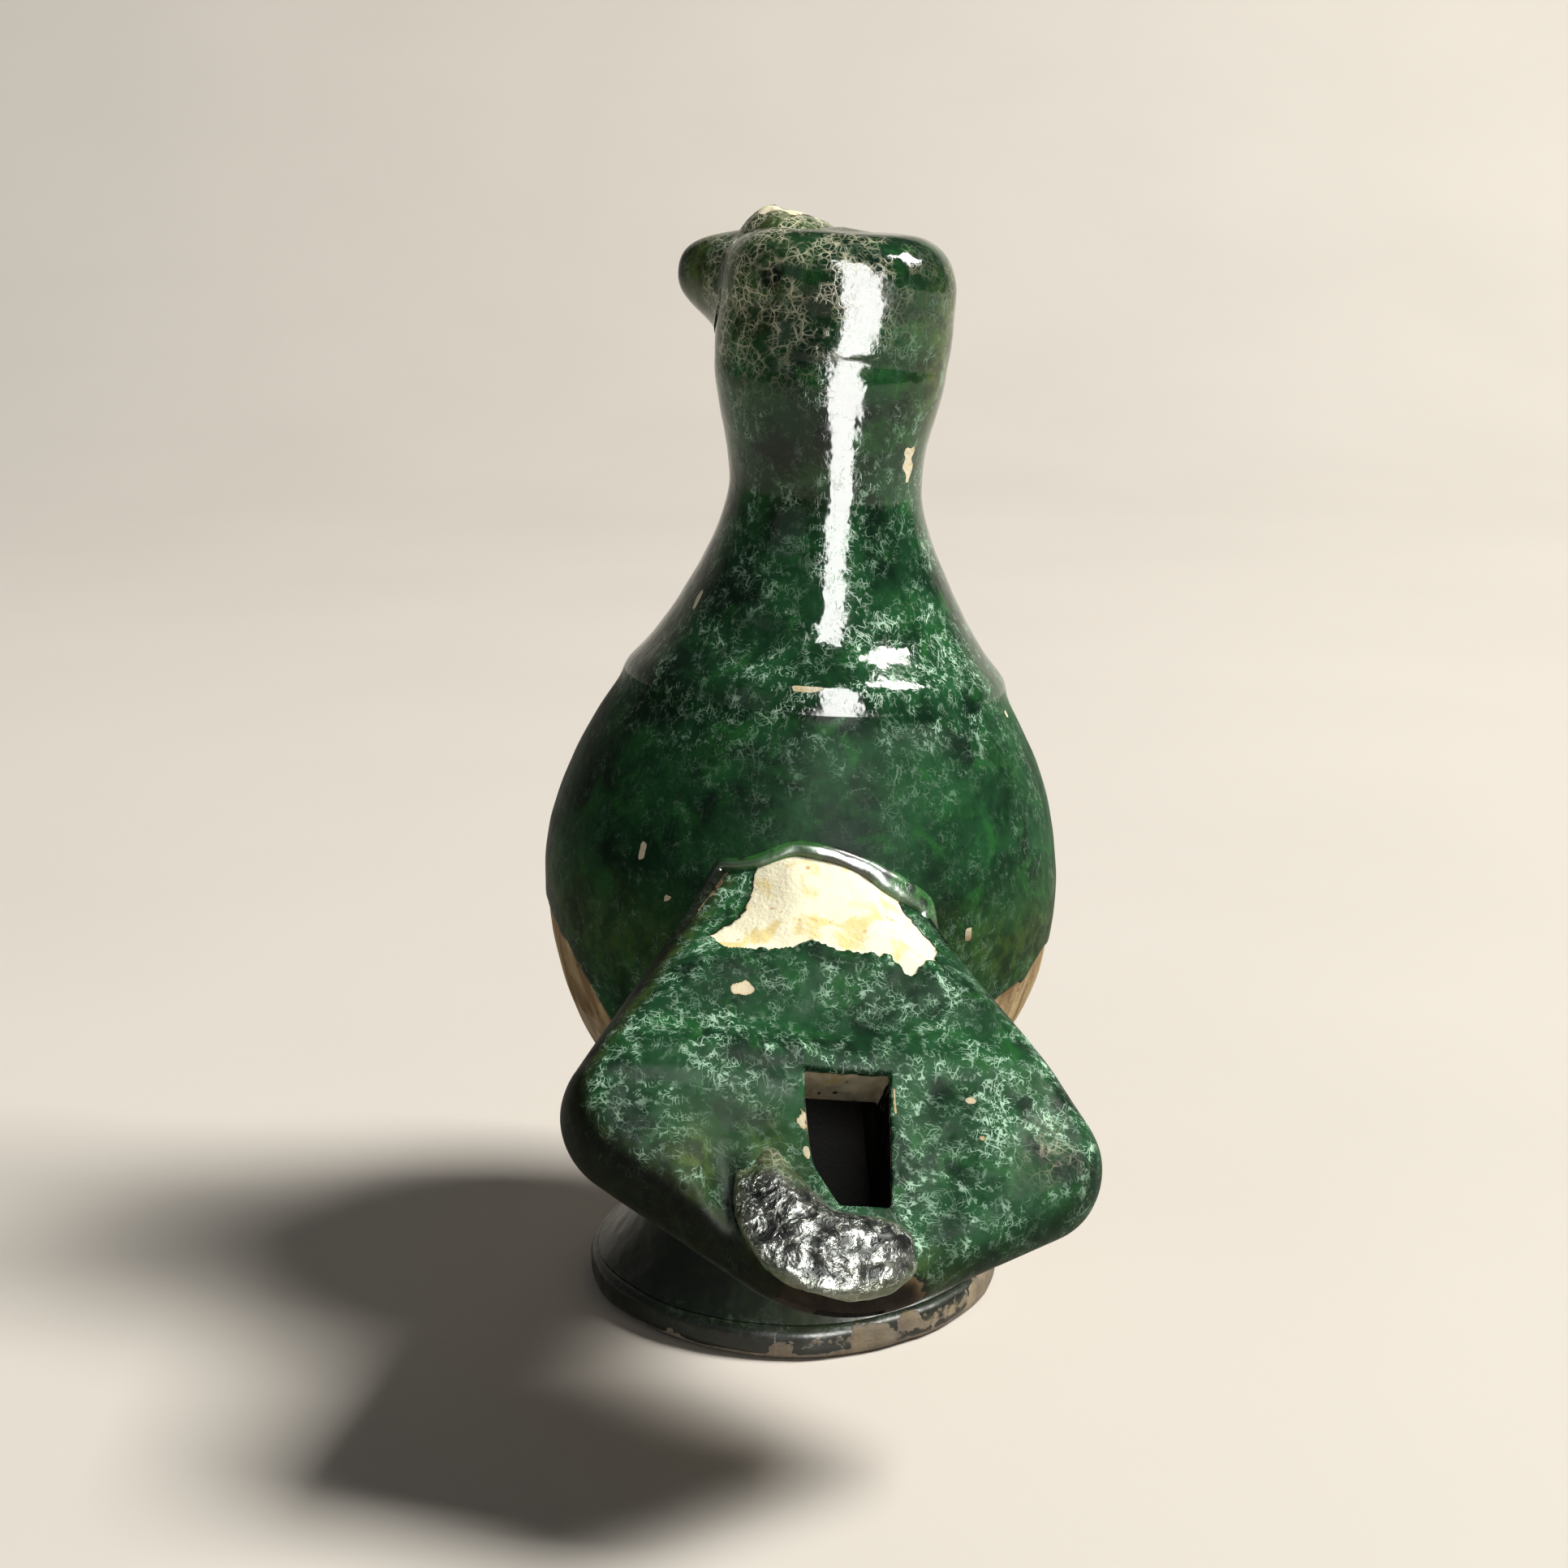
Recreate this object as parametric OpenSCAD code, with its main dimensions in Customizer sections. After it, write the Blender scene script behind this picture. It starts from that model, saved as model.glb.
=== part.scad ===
// Glazed earthenware bird whistle, hand built from separately formed pieces of clay that are luted together.
// Millimetres. Z is up, the breast faces +Y, and the tail, which is the mouthpiece, points to -Y.
// The origin is the centre of the flat underside of the foot.

/* [Foot] */
// Radius of the foot disc
foot_r = 20; // [16:0.5:24]
// Height of the upright rim of the foot disc
foot_rim_h = 3.2; // [2:0.2:5]
// Width of the worn chamfer on the rim's edges
foot_edge = 0.7; // [0.3:0.1:1.2]
// Height at which the foot meets the belly
waist_z = 14; // [12:0.5:16]
// Radius of the waist under the belly
waist_r = 12; // [10:0.5:14]
// Height of the luting coil round the waist
waist_coil_h = 4; // [3:0.5:5]

/* [Belly] */
// Largest radius of the belly
belly_r = 24.1; // [21:0.1:27]
// Height of the belly's widest circle
belly_z = 40.5; // [38:0.5:43]
// Height of the luted seam between the bowl and the dome
seam_z = 29; // [27:0.5:30]
// Thickness of the belly's wall
wall = 3.6; // [3:0.1:4.5]

/* [Neck] */
// Sideways lean of the dome, the neck and the head, in degrees
lean_angle = 3.4; // [0:0.2:5]
// Radius of the dome's top, under the neck's skirt
shoulder_r = 17.3; // [16:0.1:19]
// Height at which the neck's skirt sits on the dome
shoulder_z = 59.5; // [57:0.5:61]
// How far the skirt stands out over the dome
skirt_lap = 0.3; // [0.1:0.1:1]
// Radius of the neck at its narrowest
neck_r = 8.9; // [8:0.1:10]
// Height of the neck's narrowest circle
neck_z = 77; // [74:0.5:79]
// Radius of the hollow in the neck
neck_bore_r = 4.8; // [3:0.2:5.4]

/* [Head] */
// Height at which the head sits on the neck
head_z = 88; // [85:0.5:89]
// Height of the flat crown
crown_z = 99.7; // [97:0.1:103]
// Radius of the head across its widest place
head_r = 10.6; // [10.2:0.1:12]
// Radius of the rounded edge of the crown
crown_edge_r = 4.6; // [3.5:0.1:5]
// How far the head is turned from the breast towards the bird's left, in degrees
head_turn = 62; // [0:1:90]
// Reach of the beak past the side of the head
beak_reach = 5; // [3:0.2:8]
// Height of the crest above the crown
crest_h = 1.7; // [1:0.1:3]

/* [Tail] */
// Sideways offset of the tail
tail_x = 0.8; // [0:0.1:1]
// Distance from the foot's axis back to the middle of the tail's ridge
tail_y = 40; // [38:0.5:42]
// Height of the middle of the tail's ridge
tail_z = 36.6; // [35:0.2:38]
// Downward slope of the tail, in degrees
tail_slope = 38; // [34:1:42]
// Sideways roll of the tail, in degrees
tail_roll = 9; // [0:1:10]
// Half width of the tail across its lobes
lobe_w = 21.7; // [19:0.1:23]
// How much further down the right lobe sits than the left one
lobe_skew = 2.6; // [0:0.2:4]
// Distance from the ridge down to the tip
tip_l = 19.4; // [18:0.2:21]
// Thickness of the tail at its middle
tail_t = 12; // [11:0.5:14]
// Thickness of the tail's roof slab
roof_t = 4.3; // [3.5:0.1:5]

/* [Whistle] */
// Width of the window cut through the roof slab
window_w = 7; // [6:0.5:8]
// Length of the window along the tail
window_l = 11.6; // [11:0.2:12]
// Sideways offset of the window and the windway
window_x = 0.4; // [0:0.1:2]
// Height of the windway slot
windway_h = 1.7; // [1.4:0.1:2.2]
// Height of the passage from the window into the belly
passage_h = 4.8; // [4:0.2:5]
// Radius of the clay roll that bridges the windway
bridge_r = 2.7; // [2.2:0.1:3]
// How far the roll swells above the roof slab
bridge_rise = 1.9; // [1:0.1:2.2]

/* [Hidden] */
$fn = 96;

green = [0.08, 0.26, 0.14];
olive = [0.22, 0.26, 0.12];
buff = [0.62, 0.5, 0.36];
pewter = [0.3, 0.31, 0.29];

steps = 16;             // straight steps along each curved profile
bowl_curve = 2.1;       // power of the bowl's curve
dome_curve = 1.75;      // power of the dome's curve
cove_curve = 1.6;       // power of the coves of the foot and the neck
lean_z = 27;            // height of the point about which the upper half leans
floor_t = 4.5;          // thickness of the belly's bottom
coil_swell = 0.9;       // how far the waist coil swells
coil_depth = 1.5;       // how deep the waist coil beds in
tenon_h = 5;            // depth of the head's tenon in the neck
head_narrow = 0.92;     // width of the head across the beak's line, as a share of its length
lobe_r = 6.4;           // radius of the tail's lobes
lobe_y = -5;            // place of the lobes along the tail
tip_r = 13;             // radius of the tail's tip
root_r = 10;            // radius of the tail's round root
root_y = 19;            // place of the root along the tail, inside the belly
rim_inset = 2;          // inset of the tail's upper face from its rim
keel_inset = 9;         // inset of the tail's lower face from its rim
rim_high = 1.6;         // depth of the upper edge of the tail's rim
rim_low = 4.6;          // depth of the lower edge of the tail's rim
window_y = -0.9;        // upper edge of the window along the tail
window_knee = 0.7;      // how far down the window its rounded corner starts, as a share of its length
window_taper = 0.8;     // how much the window narrows on each side towards the tip
bridge_side = 6.2;      // how far the bridge's bed reaches to the left of the window's middle
collar = 1.5;           // width of the coil round the tail's root
collar_t = 1.3;         // thickness of that coil on the belly
far = 60;               // size of the cutting blocks
slab = 0.1;             // thickness of the outlines that a hull joins

// Radius of the belly's outside at height z
function bowl_r(z) = let (t = (belly_z - z) / (belly_z - waist_z)) belly_r - (belly_r - groove_r) * pow(t, bowl_curve);
function dome_r(z) = let (t = (z - belly_z) / (shoulder_z - belly_z)) belly_r - (belly_r - shoulder_r) * pow(t, dome_curve);
function belly_at(z) = z < belly_z ? bowl_r(z) : dome_r(z);

// Radius of the foot's cove and of the neck's outside at height z
function cove(r0, r1, t) = r0 + (r1 - r0) * pow(t, cove_curve);
function foot_at(z) = cove(waist_r, foot_r - foot_edge, (waist_z - z) / (waist_z - foot_rim_h));
function flare_at(z) = cove(neck_r, shoulder_r + skirt_lap, (neck_z - z) / (neck_z - shoulder_z));
function nape_at(z) = neck_r + (nape_r - neck_r) * (z - neck_z) / (head_z - neck_z);
function neck_at(z) = z < neck_z ? flare_at(z) : nape_at(z);

// Points [radius, height] of a curve between two heights, drawn in by an inset
function belly_curve(z0, z1, inset = 0) =
    [for (i = [0 : steps]) let (z = z0 + (z1 - z0) * i / steps) [belly_at(z) - inset, z]];
function foot_curve(z0, z1) = [for (i = [0 : steps]) let (z = z0 + (z1 - z0) * i / steps) [foot_at(z), z]];
function neck_curve(z0, z1) = [for (i = [0 : steps]) let (z = z0 + (z1 - z0) * i / steps) [neck_at(z), z]];

cavity_z = waist_z + floor_t;               // bottom of the belly's hollow
coil_low = waist_z - waist_coil_h / 2;      // lower edge of the waist coil
coil_high = waist_z + waist_coil_h / 2;     // upper edge of the waist coil
groove_r = waist_r - coil_depth;            // radius that the waist coil beds on
throat_z = neck_z - 5;                      // height at which the neck's hollow becomes straight
throat_r = shoulder_r - wall;               // radius of the hollow under the neck
nape_r = head_r - 0.4;                      // radius of the neck's top, under the head
seam_high = seam_z + 3;                     // height from which the tilted seam trims the bowl

module lean() translate([0, 0, lean_z]) rotate([0, lean_angle, 0]) translate([0, 0, -lean_z]) children();

module tail_frame() translate([tail_x, -tail_y, tail_z]) rotate([tail_slope, 0, 0]) rotate([0, tail_roll, 0])
    children();

module head_frame() lean() rotate([0, 0, head_turn]) children();

// The leaning outside of the belly as one solid, which the tail is shaped to
module belly_blank() lean() rotate_extrude()
    polygon(concat([[0, coil_high]], belly_curve(coil_high, shoulder_z), [[0, shoulder_z]]));

// The outline of the tail's lobes and tip, drawn in by an inset
module tail_outline(inset = 0) hull() {
    for (side = [-1, 1]) translate([side * (lobe_w - lobe_r), lobe_y - side * lobe_skew / 2])
        circle(lobe_r - inset / 2, $fn = 32);
    translate([0, tip_r - tip_l + inset / 2]) circle(tip_r - inset / 2, $fn = 32);
}

// The tail as one solid, from its round root inside the belly to its tip, swollen by grow
module tail_blank(grow = 0) hull() {
    translate([0, 0, grow - slab]) linear_extrude(slab) tail_outline(rim_inset - grow);
    translate([0, 0, -rim_low]) linear_extrude(rim_low - rim_high) tail_outline(-grow);
    translate([0, 0, -tail_t - grow]) linear_extrude(slab) tail_outline(keel_inset - grow);
    translate([0, root_y, -root_r]) sphere(root_r + grow, $fn = 48);
}

// The window seen from above, measured from the middle of its upper edge; the bridge's roll rounds one corner
module window_shape() polygon([
    [-window_w / 2, 0], [window_w / 2, 0],
    [window_w / 2 - window_taper, -window_l], [-window_w / 5, -window_l],
    [window_taper / 3 - window_w / 2, -window_l * window_knee]]);
module window_cut() translate([window_x, window_y, -roof_t - 1]) linear_extrude(roof_t + 6) window_shape();

// The bed in the roof slab that the bridge fills, from beside the window to past the tip
module bridge_bed() difference() {
    translate([window_x - bridge_side, -tip_l - 2, -roof_t])
        cube([bridge_side + window_w / 2 + 2, tip_l + 2 + window_y - window_l * window_knee, roof_t + 4]);
    window_cut();
    translate([window_x, window_y - window_l, -roof_t - 1]) cube([window_w, window_l, roof_t + 6]);
}

// The passage under the roof from the window into the belly, and the windway from the tip to the window,
// each cut deeper than the parting by over
module passage_cut(over = 0) translate([window_x - window_w / 2, window_y - window_l, -roof_t - passage_h])
    cube([window_w, window_l + root_y + root_r + 4, passage_h + over]);
module windway_cut(over = 0)
    translate([window_x - window_w / 2 + window_taper, -tip_l - 2, -roof_t - windway_h])
        cube([window_w - 2 * window_taper, tip_l + 3 + window_y - window_l, windway_h + over]);

// The half spaces above and below the underside of the roof slab
module above_parting() translate([-far / 2, -far / 2, -roof_t]) cube([far, far, far / 2]);
module below_parting() translate([-far / 2, -far / 2, -roof_t - far / 2]) cube([far, far, far / 2]);

module foot_disc() color(olive) rotate_extrude() polygon(concat(
    [[0, 0], [foot_r - foot_edge, 0], [foot_r, foot_edge], [foot_r, foot_rim_h - foot_edge]],
    foot_curve(foot_rim_h, coil_low),
    [[groove_r, coil_low], [groove_r, waist_z], [0, waist_z]]));

module waist_coil() color(buff) rotate_extrude() polygon(concat(
    [[groove_r, coil_low]],
    [for (i = [0 : steps]) let (t = i / steps, z = coil_low + waist_coil_h * t)
        [foot_at(coil_low) * (1 - t) + bowl_r(coil_high) * t + coil_swell * sin(180 * t), z]],
    [[groove_r, coil_high]]));

module belly_bowl() color(buff) difference() {
    rotate_extrude() polygon(concat(
        [[0, waist_z], [groove_r, waist_z], [groove_r, coil_high]],
        belly_curve(coil_high, seam_high),
        [for (i = [steps : -1 : 0]) let (z = cavity_z + (seam_high - cavity_z) * i / steps)
            [(belly_at(z) - wall) * sqrt(max(0, 1 - pow(1 - min(1, (z - cavity_z) / 5), 2))), z]]));
    lean() translate([-far / 2, -far / 2, seam_z]) cube(far);
}

module belly_dome() color(green) difference() {
    lean() rotate_extrude() polygon(concat(
        belly_curve(seam_z, shoulder_z),
        belly_curve(shoulder_z, seam_z, wall)));
    tail_frame() passage_cut();
}

module neck_tube() color(green) lean() rotate_extrude() polygon(concat(
    [[throat_r, shoulder_z], [shoulder_r + skirt_lap / 2, shoulder_z]],
    neck_curve(shoulder_z + 0.4, head_z),
    [[neck_bore_r, head_z], [neck_bore_r, throat_z]],
    [for (i = [steps - 1 : -1 : 1]) let (t = i / steps, z = shoulder_z + (throat_z - shoulder_z) * t)
        [cove(neck_bore_r, throat_r, 1 - t), z]]));

// The head's rounded lump, longer towards the beak than across
module head_lump() hull() {
    lean() translate([0, 0, head_z]) cylinder(r = nape_r, h = slab, $fn = 64);
    head_frame() scale([head_narrow, 1, 1]) translate([0, 0, crown_z - crown_edge_r])
        rotate_extrude($fn = 64) translate([head_r - crown_edge_r, 0]) circle(crown_edge_r, $fn = 32);
}

module head() color(green) union() {
    head_lump();
    lean() translate([0, 0, head_z - tenon_h]) cylinder(r = neck_bore_r, h = tenon_h + 1);
}

module beak() color(olive) difference() {
    head_frame() hull() {
        translate([0, head_r - 4, crown_z - 5.5]) sphere(4, $fn = 32);
        translate([0, head_r + beak_reach - 2.2, crown_z - 4]) sphere(2.2, $fn = 32);
        translate([0, head_r + beak_reach - 3, crown_z - 6.8]) sphere(1.4, $fn = 32);
    }
    head_lump();
}

module crest() color(buff) difference() {
    head_frame() hull() {
        translate([0, 8.8, crown_z - 2.4]) sphere(2.4, $fn = 32);
        translate([0, 6, crown_z + crest_h - 2.4]) sphere(2.4, $fn = 32);
        translate([0, 1.8, crown_z - 1]) sphere(1.9, $fn = 32);
    }
    head_lump();
}

module tail_roof() color(green) difference() {
    tail_frame() difference() {
        intersection() {
            tail_blank();
            above_parting();
        }
        window_cut();
        bridge_bed();
    }
    belly_blank();
}

module tail_floor() color(olive) difference() {
    tail_frame() difference() {
        intersection() {
            tail_blank();
            below_parting();
        }
        passage_cut(1);
        windway_cut(1);
    }
    belly_blank();
}

// A stretch of the bridge's roll between two points, measured from the middle of the window's upper edge
module roll_part(x0, y0, x1, y1) hull() {
    for (p = [[x0, y0], [x1, y1]])
        translate([window_x + p.x, window_y + p.y, bridge_rise - bridge_r]) sphere(bridge_r, $fn = 32);
}

module windway_bridge() color(pewter) tail_frame() intersection() {
    union() {
        intersection() {
            tail_blank();
            above_parting();
        }
        roll_part(-4.6, -8.4, -3.6, -12.6);
        roll_part(-3.6, -12.6, 0.4, -15.2);
        roll_part(0.4, -15.2, 3.4, -14.6);
    }
    bridge_bed();
}

// The coil that is smoothed round the joint of tail and belly
module tail_root_coil() color(olive) difference() {
    intersection() {
        tail_frame() tail_blank(collar);
        lean() rotate_extrude()
            polygon(concat(belly_curve(seam_z, shoulder_z, -collar_t), belly_curve(shoulder_z, seam_z)));
    }
    tail_frame() tail_blank();
}

foot_disc();
waist_coil();
belly_bowl();
belly_dome();
neck_tube();
head();
beak();
crest();
tail_roof();
tail_floor();
windway_bridge();
tail_root_coil();
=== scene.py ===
"""A hand-built bird whistle of buff earthenware under a green lead glaze.

Every piece of clay that the potter formed apart is a piece here: foot, waist coil, belly bowl, belly dome,
neck, head, beak, crest, the two slabs of the tail, the roll over the windway and the coil round the tail's
root. Shapes are worked out in millimetres and become metres when a mesh is made. Z is up, the breast faces +Y
and the tail points to -Y.
"""
import logging
import math
from dataclasses import dataclass, field
from enum import Enum
import bpy
import numpy as np
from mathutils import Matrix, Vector


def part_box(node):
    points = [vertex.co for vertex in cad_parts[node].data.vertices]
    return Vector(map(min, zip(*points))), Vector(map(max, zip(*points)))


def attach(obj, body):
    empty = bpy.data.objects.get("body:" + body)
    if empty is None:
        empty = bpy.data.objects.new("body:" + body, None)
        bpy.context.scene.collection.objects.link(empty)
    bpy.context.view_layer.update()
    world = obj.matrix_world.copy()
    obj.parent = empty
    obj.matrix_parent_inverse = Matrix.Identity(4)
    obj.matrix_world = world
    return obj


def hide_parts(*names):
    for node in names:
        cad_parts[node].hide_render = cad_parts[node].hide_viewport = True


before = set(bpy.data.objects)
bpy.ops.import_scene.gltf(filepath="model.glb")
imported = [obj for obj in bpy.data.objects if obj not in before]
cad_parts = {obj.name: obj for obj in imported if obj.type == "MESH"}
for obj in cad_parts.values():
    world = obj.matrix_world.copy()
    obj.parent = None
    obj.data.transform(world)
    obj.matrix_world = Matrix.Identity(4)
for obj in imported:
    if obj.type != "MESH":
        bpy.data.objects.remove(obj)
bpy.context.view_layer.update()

MM = 0.001
BODY = "root"
GLAZE_T = 0.26
GLAZE_IOR = 1.7
CORNER_DEG = 50.0
TAU = 2 * math.pi
Array = np.ndarray
Socket = bpy.types.NodeSocket
log = logging.getLogger("whistle")


class Slot(Enum):
    """The record's material slots."""

    GREEN = "green_glaze"
    POOLED = "pooled_glaze"
    THIN = "thin_glaze"
    WORN = "worn_glaze"
    METALLIC = "metallic_glaze"
    CLAY = "bare_clay"


# ---------------------------------------------------------------- helpers for shapes


def ease(low: float | Array, high: float | Array, x: Array) -> Array:
    """A smooth step: 0 below low, 1 above high, and 3t^2 - 2t^3 between."""
    t = np.clip((x - low) / (high - low), 0, 1)
    return t * t * (3 - 2 * t)


def xyz(x: Array | float, y: Array | float, z: Array | float) -> Array:
    """Points from three coordinates that are spread to one shape."""
    return np.stack(np.broadcast_arrays(x, y, z), -1).astype(float)


def bump(x: Array, width: float) -> Array:
    """A round bump: exp(-(x / width)^2)."""
    return np.exp(-np.square(x / width))


def wrapped(angle: Array) -> Array:
    """An angle brought between -pi and pi."""
    return np.angle(np.exp(1j * angle))


def towards(theta: Array, at: float, wide: float) -> Array:
    """A round bump about the direction at, wide degrees across its shoulders, for angles in radians."""
    return bump(wrapped(theta - math.radians(at)), math.radians(wide))


def angles(cols: int) -> Array:
    """Angles all the way round, as one row."""
    return np.linspace(0, TAU, cols, endpoint=False)[None, :]


@dataclass(frozen=True)
class Mark:
    """A patch on the round body: its amount, its height and half height, and its direction and half width.

    The amount is in millimetres for a shape and a share for a coat. The direction is in degrees from +X.
    """

    amount: float
    at_h: float
    tall: float
    at_turn: float
    wide: float

    def on(self, h: Array, theta: Array) -> Array:
        """The mark's amount at a height and an angle: a round bump up the body times one round it."""
        return self.amount * bump(h - self.at_h, self.tall) * towards(theta, self.at_turn, self.wide)


@dataclass(frozen=True)
class Spot:
    """A patch on the tail's top: its amount, its middle and its half width and half length in millimetres."""

    amount: float
    at_x: float
    at_y: float
    wide: float
    tall: float

    def away(self, x: Array, y: Array) -> Array:
        """Distance from the middle, measured in half widths."""
        return np.hypot((x - self.at_x) / self.wide, (y - self.at_y) / self.tall)

    def on(self, x: Array, y: Array) -> Array:
        """The spot's amount at a place: a round bump."""
        return self.amount * bump(self.away(x, y), 1)


@dataclass(frozen=True)
class Chip:
    """A flake lost from the body's glaze: height, direction in degrees, half width and half height."""

    at_h: float
    at_turn: float
    wide: float
    tall: float


def summed(patches: tuple, a: Array, b: Array) -> Array:
    """The sum of the patches' amounts at a place."""
    return sum(patch.on(a, b) for patch in patches)


def box_mm(node: str) -> tuple[Array, Array]:
    """The lowest and highest corners of a CAD node in millimetres."""
    low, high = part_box(node)
    return np.array(low) / MM, np.array(high) / MM


class Grain:
    """Seeded smooth noise: random values on a lattice, blended between lattice points by a quintic ease."""

    SIDE = 32

    def __init__(self, seed: int) -> None:
        """Draws the lattice's values, from -1 to 1."""
        self.lattice = np.random.default_rng(seed).uniform(-1, 1, (self.SIDE,) * 3)

    def layer(self, cell: Array) -> Array:
        """One layer of noise at points measured in cells: the eight corner values, weighted by nearness.

        Args:
            cell: points measured in lattice cells.

        Returns:
            One value a point, from -1 to 1.
        """
        low = np.floor(cell).astype(int)
        t = cell - low
        t = t**3 * (t * (6 * t - 15) + 10)
        total = np.zeros(cell.shape[:-1])
        for corner in np.ndindex(2, 2, 2):
            pick = (low + corner) % self.SIDE
            share = np.prod(np.where(np.array(corner, bool), t, 1 - t), axis=-1)
            total += share * self.lattice[pick[..., 0], pick[..., 1], pick[..., 2]]
        return total

    def at(self, points: Array, size: float, octaves: int = 1) -> Array:
        """Noise whose features are about size across.

        Args:
            points: places in millimetres, with x, y, z last.
            size: width of a lattice cell in millimetres.
            octaves: how many layers, each half as large and half as strong as the one before.

        Returns:
            One value a point, about -1 to 1.
        """
        return sum(self.layer(points / size * 2**k + 7.3 * k) * 0.5**k for k in range(octaves))


LUMPS = Grain(11)
PEEL = Grain(23)
RAGGED = Grain(37)


# ---------------------------------------------------------------- helpers for meshes


@dataclass
class Paint:
    """What the glaze does at each vertex. Each value is kept as an attribute that the materials read.

    glaze is above 0.5 where glaze covers the clay. The others are shares from 0 to 1, but threads may reach
    1.4. dark is mostly painted shade, in hollows, undersides and on the side away from the light; threads are
    pale scratches, in places also a painted highlight.
    """

    glaze: Array
    threads: Array
    olive: Array
    dark: Array
    metal: Array
    net: Array
    fresh: Array
    satin: Array

    @classmethod
    def even(cls, shape: tuple[int, ...], **values: Array | float) -> "Paint":
        """A coat with the given values, and 0 for the rest.

        Args:
            shape: the arrays' shape.
            values: the values that are given, by name.

        Returns:
            The coat.
        """
        full = {name: np.zeros(shape) for name in cls.__dataclass_fields__}
        for name, value in values.items():
            full[name] = np.broadcast_to(value, shape).astype(float)
        return cls(**full)


def closed_faces(rows: int, cols: int, ring: bool) -> Array:
    """Quads of a grid that is closed across its columns, and also across its rows if it is a ring.

    Args:
        rows: rows of the grid.
        cols: columns of the grid.
        ring: whether the last row joins the first.

    Returns:
        Four vertex numbers a face.
    """
    r = np.arange(rows if ring else rows - 1)[:, None]
    c = np.arange(cols)[None, :]
    r1, c1 = (r + 1) % rows, (c + 1) % cols
    quads = np.stack([r * cols + c, r * cols + c1, r1 * cols + c1, r1 * cols + c], -1)
    return quads.reshape(-1, 4)


def make_mesh(name: str, verts: Array, quads: Array, fans: Array) -> bpy.types.Mesh:
    """Puts whole arrays into a mesh and turns its faces outwards.

    The volume is the sum of a . (b x c) / 6 over the triangles, and if it is below 0 every face is turned
    round.

    Args:
        name: the mesh's name.
        verts: places in millimetres.
        quads: four vertex numbers a face.
        fans: three vertex numbers a face.

    Returns:
        The mesh.
    """
    tris = np.concatenate([quads[:, [0, 1, 2]], quads[:, [0, 2, 3]], fans])
    a, b, c = (verts[tris[:, k]] for k in range(3))
    if np.einsum("ij,ij->i", a, np.cross(b, c)).sum() < 0:
        quads, fans = quads[:, ::-1], fans[:, ::-1]
    mesh = bpy.data.meshes.new(name)
    mesh.vertices.add(len(verts))
    mesh.vertices.foreach_set("co", (verts * MM).astype(np.float32).ravel())
    loops = np.concatenate([quads.ravel(), fans.ravel()]).astype(np.int32)
    starts = np.concatenate([np.arange(len(quads)) * 4, quads.size + np.arange(len(fans)) * 3])
    mesh.loops.add(len(loops))
    mesh.loops.foreach_set("vertex_index", loops)
    mesh.polygons.add(len(starts))
    mesh.polygons.foreach_set("loop_start", starts.astype(np.int32))
    mesh.update(calc_edges=True)
    mesh.validate()
    return mesh


def smooth_mesh(mesh: bpy.types.Mesh, corner: float = CORNER_DEG) -> None:
    """Shades a mesh smooth, with sharp edges where faces meet at more than corner degrees."""
    mesh.shade_smooth()
    mesh.set_sharp_from_angle(angle=math.radians(corner))


def surface(name: str, points: Array, ring: bool) -> bpy.types.Object:
    """A closed surface from a grid that is closed across its columns.

    A ring is closed across its rows too. Otherwise the first and the last row are each drawn together into
    one point at their mean, and a fan of triangles closes the pole there.

    Args:
        name: the piece's name.
        points: rows x columns x 3, in millimetres.
        ring: whether the last row joins the first.

    Returns:
        The object, linked to the scene.
    """
    rows, cols = points.shape[:2]
    if ring:
        verts, quads, fans = points.reshape(-1, 3), closed_faces(rows, cols, True), np.zeros((0, 3), int)
    else:
        inner = points[1:-1].reshape(-1, 3)
        verts = np.concatenate([inner, points[:1].mean(1), points[-1:].mean(1)])
        quads = closed_faces(rows - 2, cols, False)
        c = np.arange(cols)
        c1 = (c + 1) % cols
        last = (rows - 3) * cols
        first_fan = np.stack([np.full(cols, len(inner)), c1, c], -1)
        last_fan = np.stack([np.full(cols, len(inner) + 1), last + c, last + c1], -1)
        fans = np.concatenate([first_fan, last_fan])
    return linked(name, make_mesh(name, verts, quads, fans))


def places(mesh: bpy.types.Mesh) -> Array:
    """A mesh's vertices in millimetres.

    Args:
        mesh: the mesh.

    Returns:
        One point a vertex.
    """
    flat = np.empty(len(mesh.vertices) * 3, np.float32)
    mesh.vertices.foreach_get("co", flat)
    return flat.reshape(-1, 3).astype(float) / MM


def linked(name: str, data: bpy.types.ID) -> bpy.types.Object:
    """A new object at the origin, linked to the scene.

    Args:
        name: its name.
        data: its mesh, lamp or camera.

    Returns:
        The object.
    """
    piece = bpy.data.objects.new(name, data)
    bpy.context.scene.collection.objects.link(piece)
    return piece


def carve(piece: bpy.types.Object, cutters: list[bpy.types.Object]) -> None:
    """Cuts the cutters out of a piece exactly, and removes them.

    Args:
        piece: the object to cut.
        cutters: closed objects, which are gone afterwards.
    """
    for cutter in cutters:
        cut = piece.modifiers.new("cut", "BOOLEAN")
        cut.operation = "DIFFERENCE"
        cut.solver = "EXACT"
        cut.object = cutter
    bpy.context.view_layer.update()
    graph = bpy.context.evaluated_depsgraph_get()
    carved = bpy.data.meshes.new_from_object(piece.evaluated_get(graph))
    piece.modifiers.clear()
    carved.name = piece.data.name
    piece.data = carved
    for cutter in cutters:
        bpy.data.objects.remove(cutter)


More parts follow.
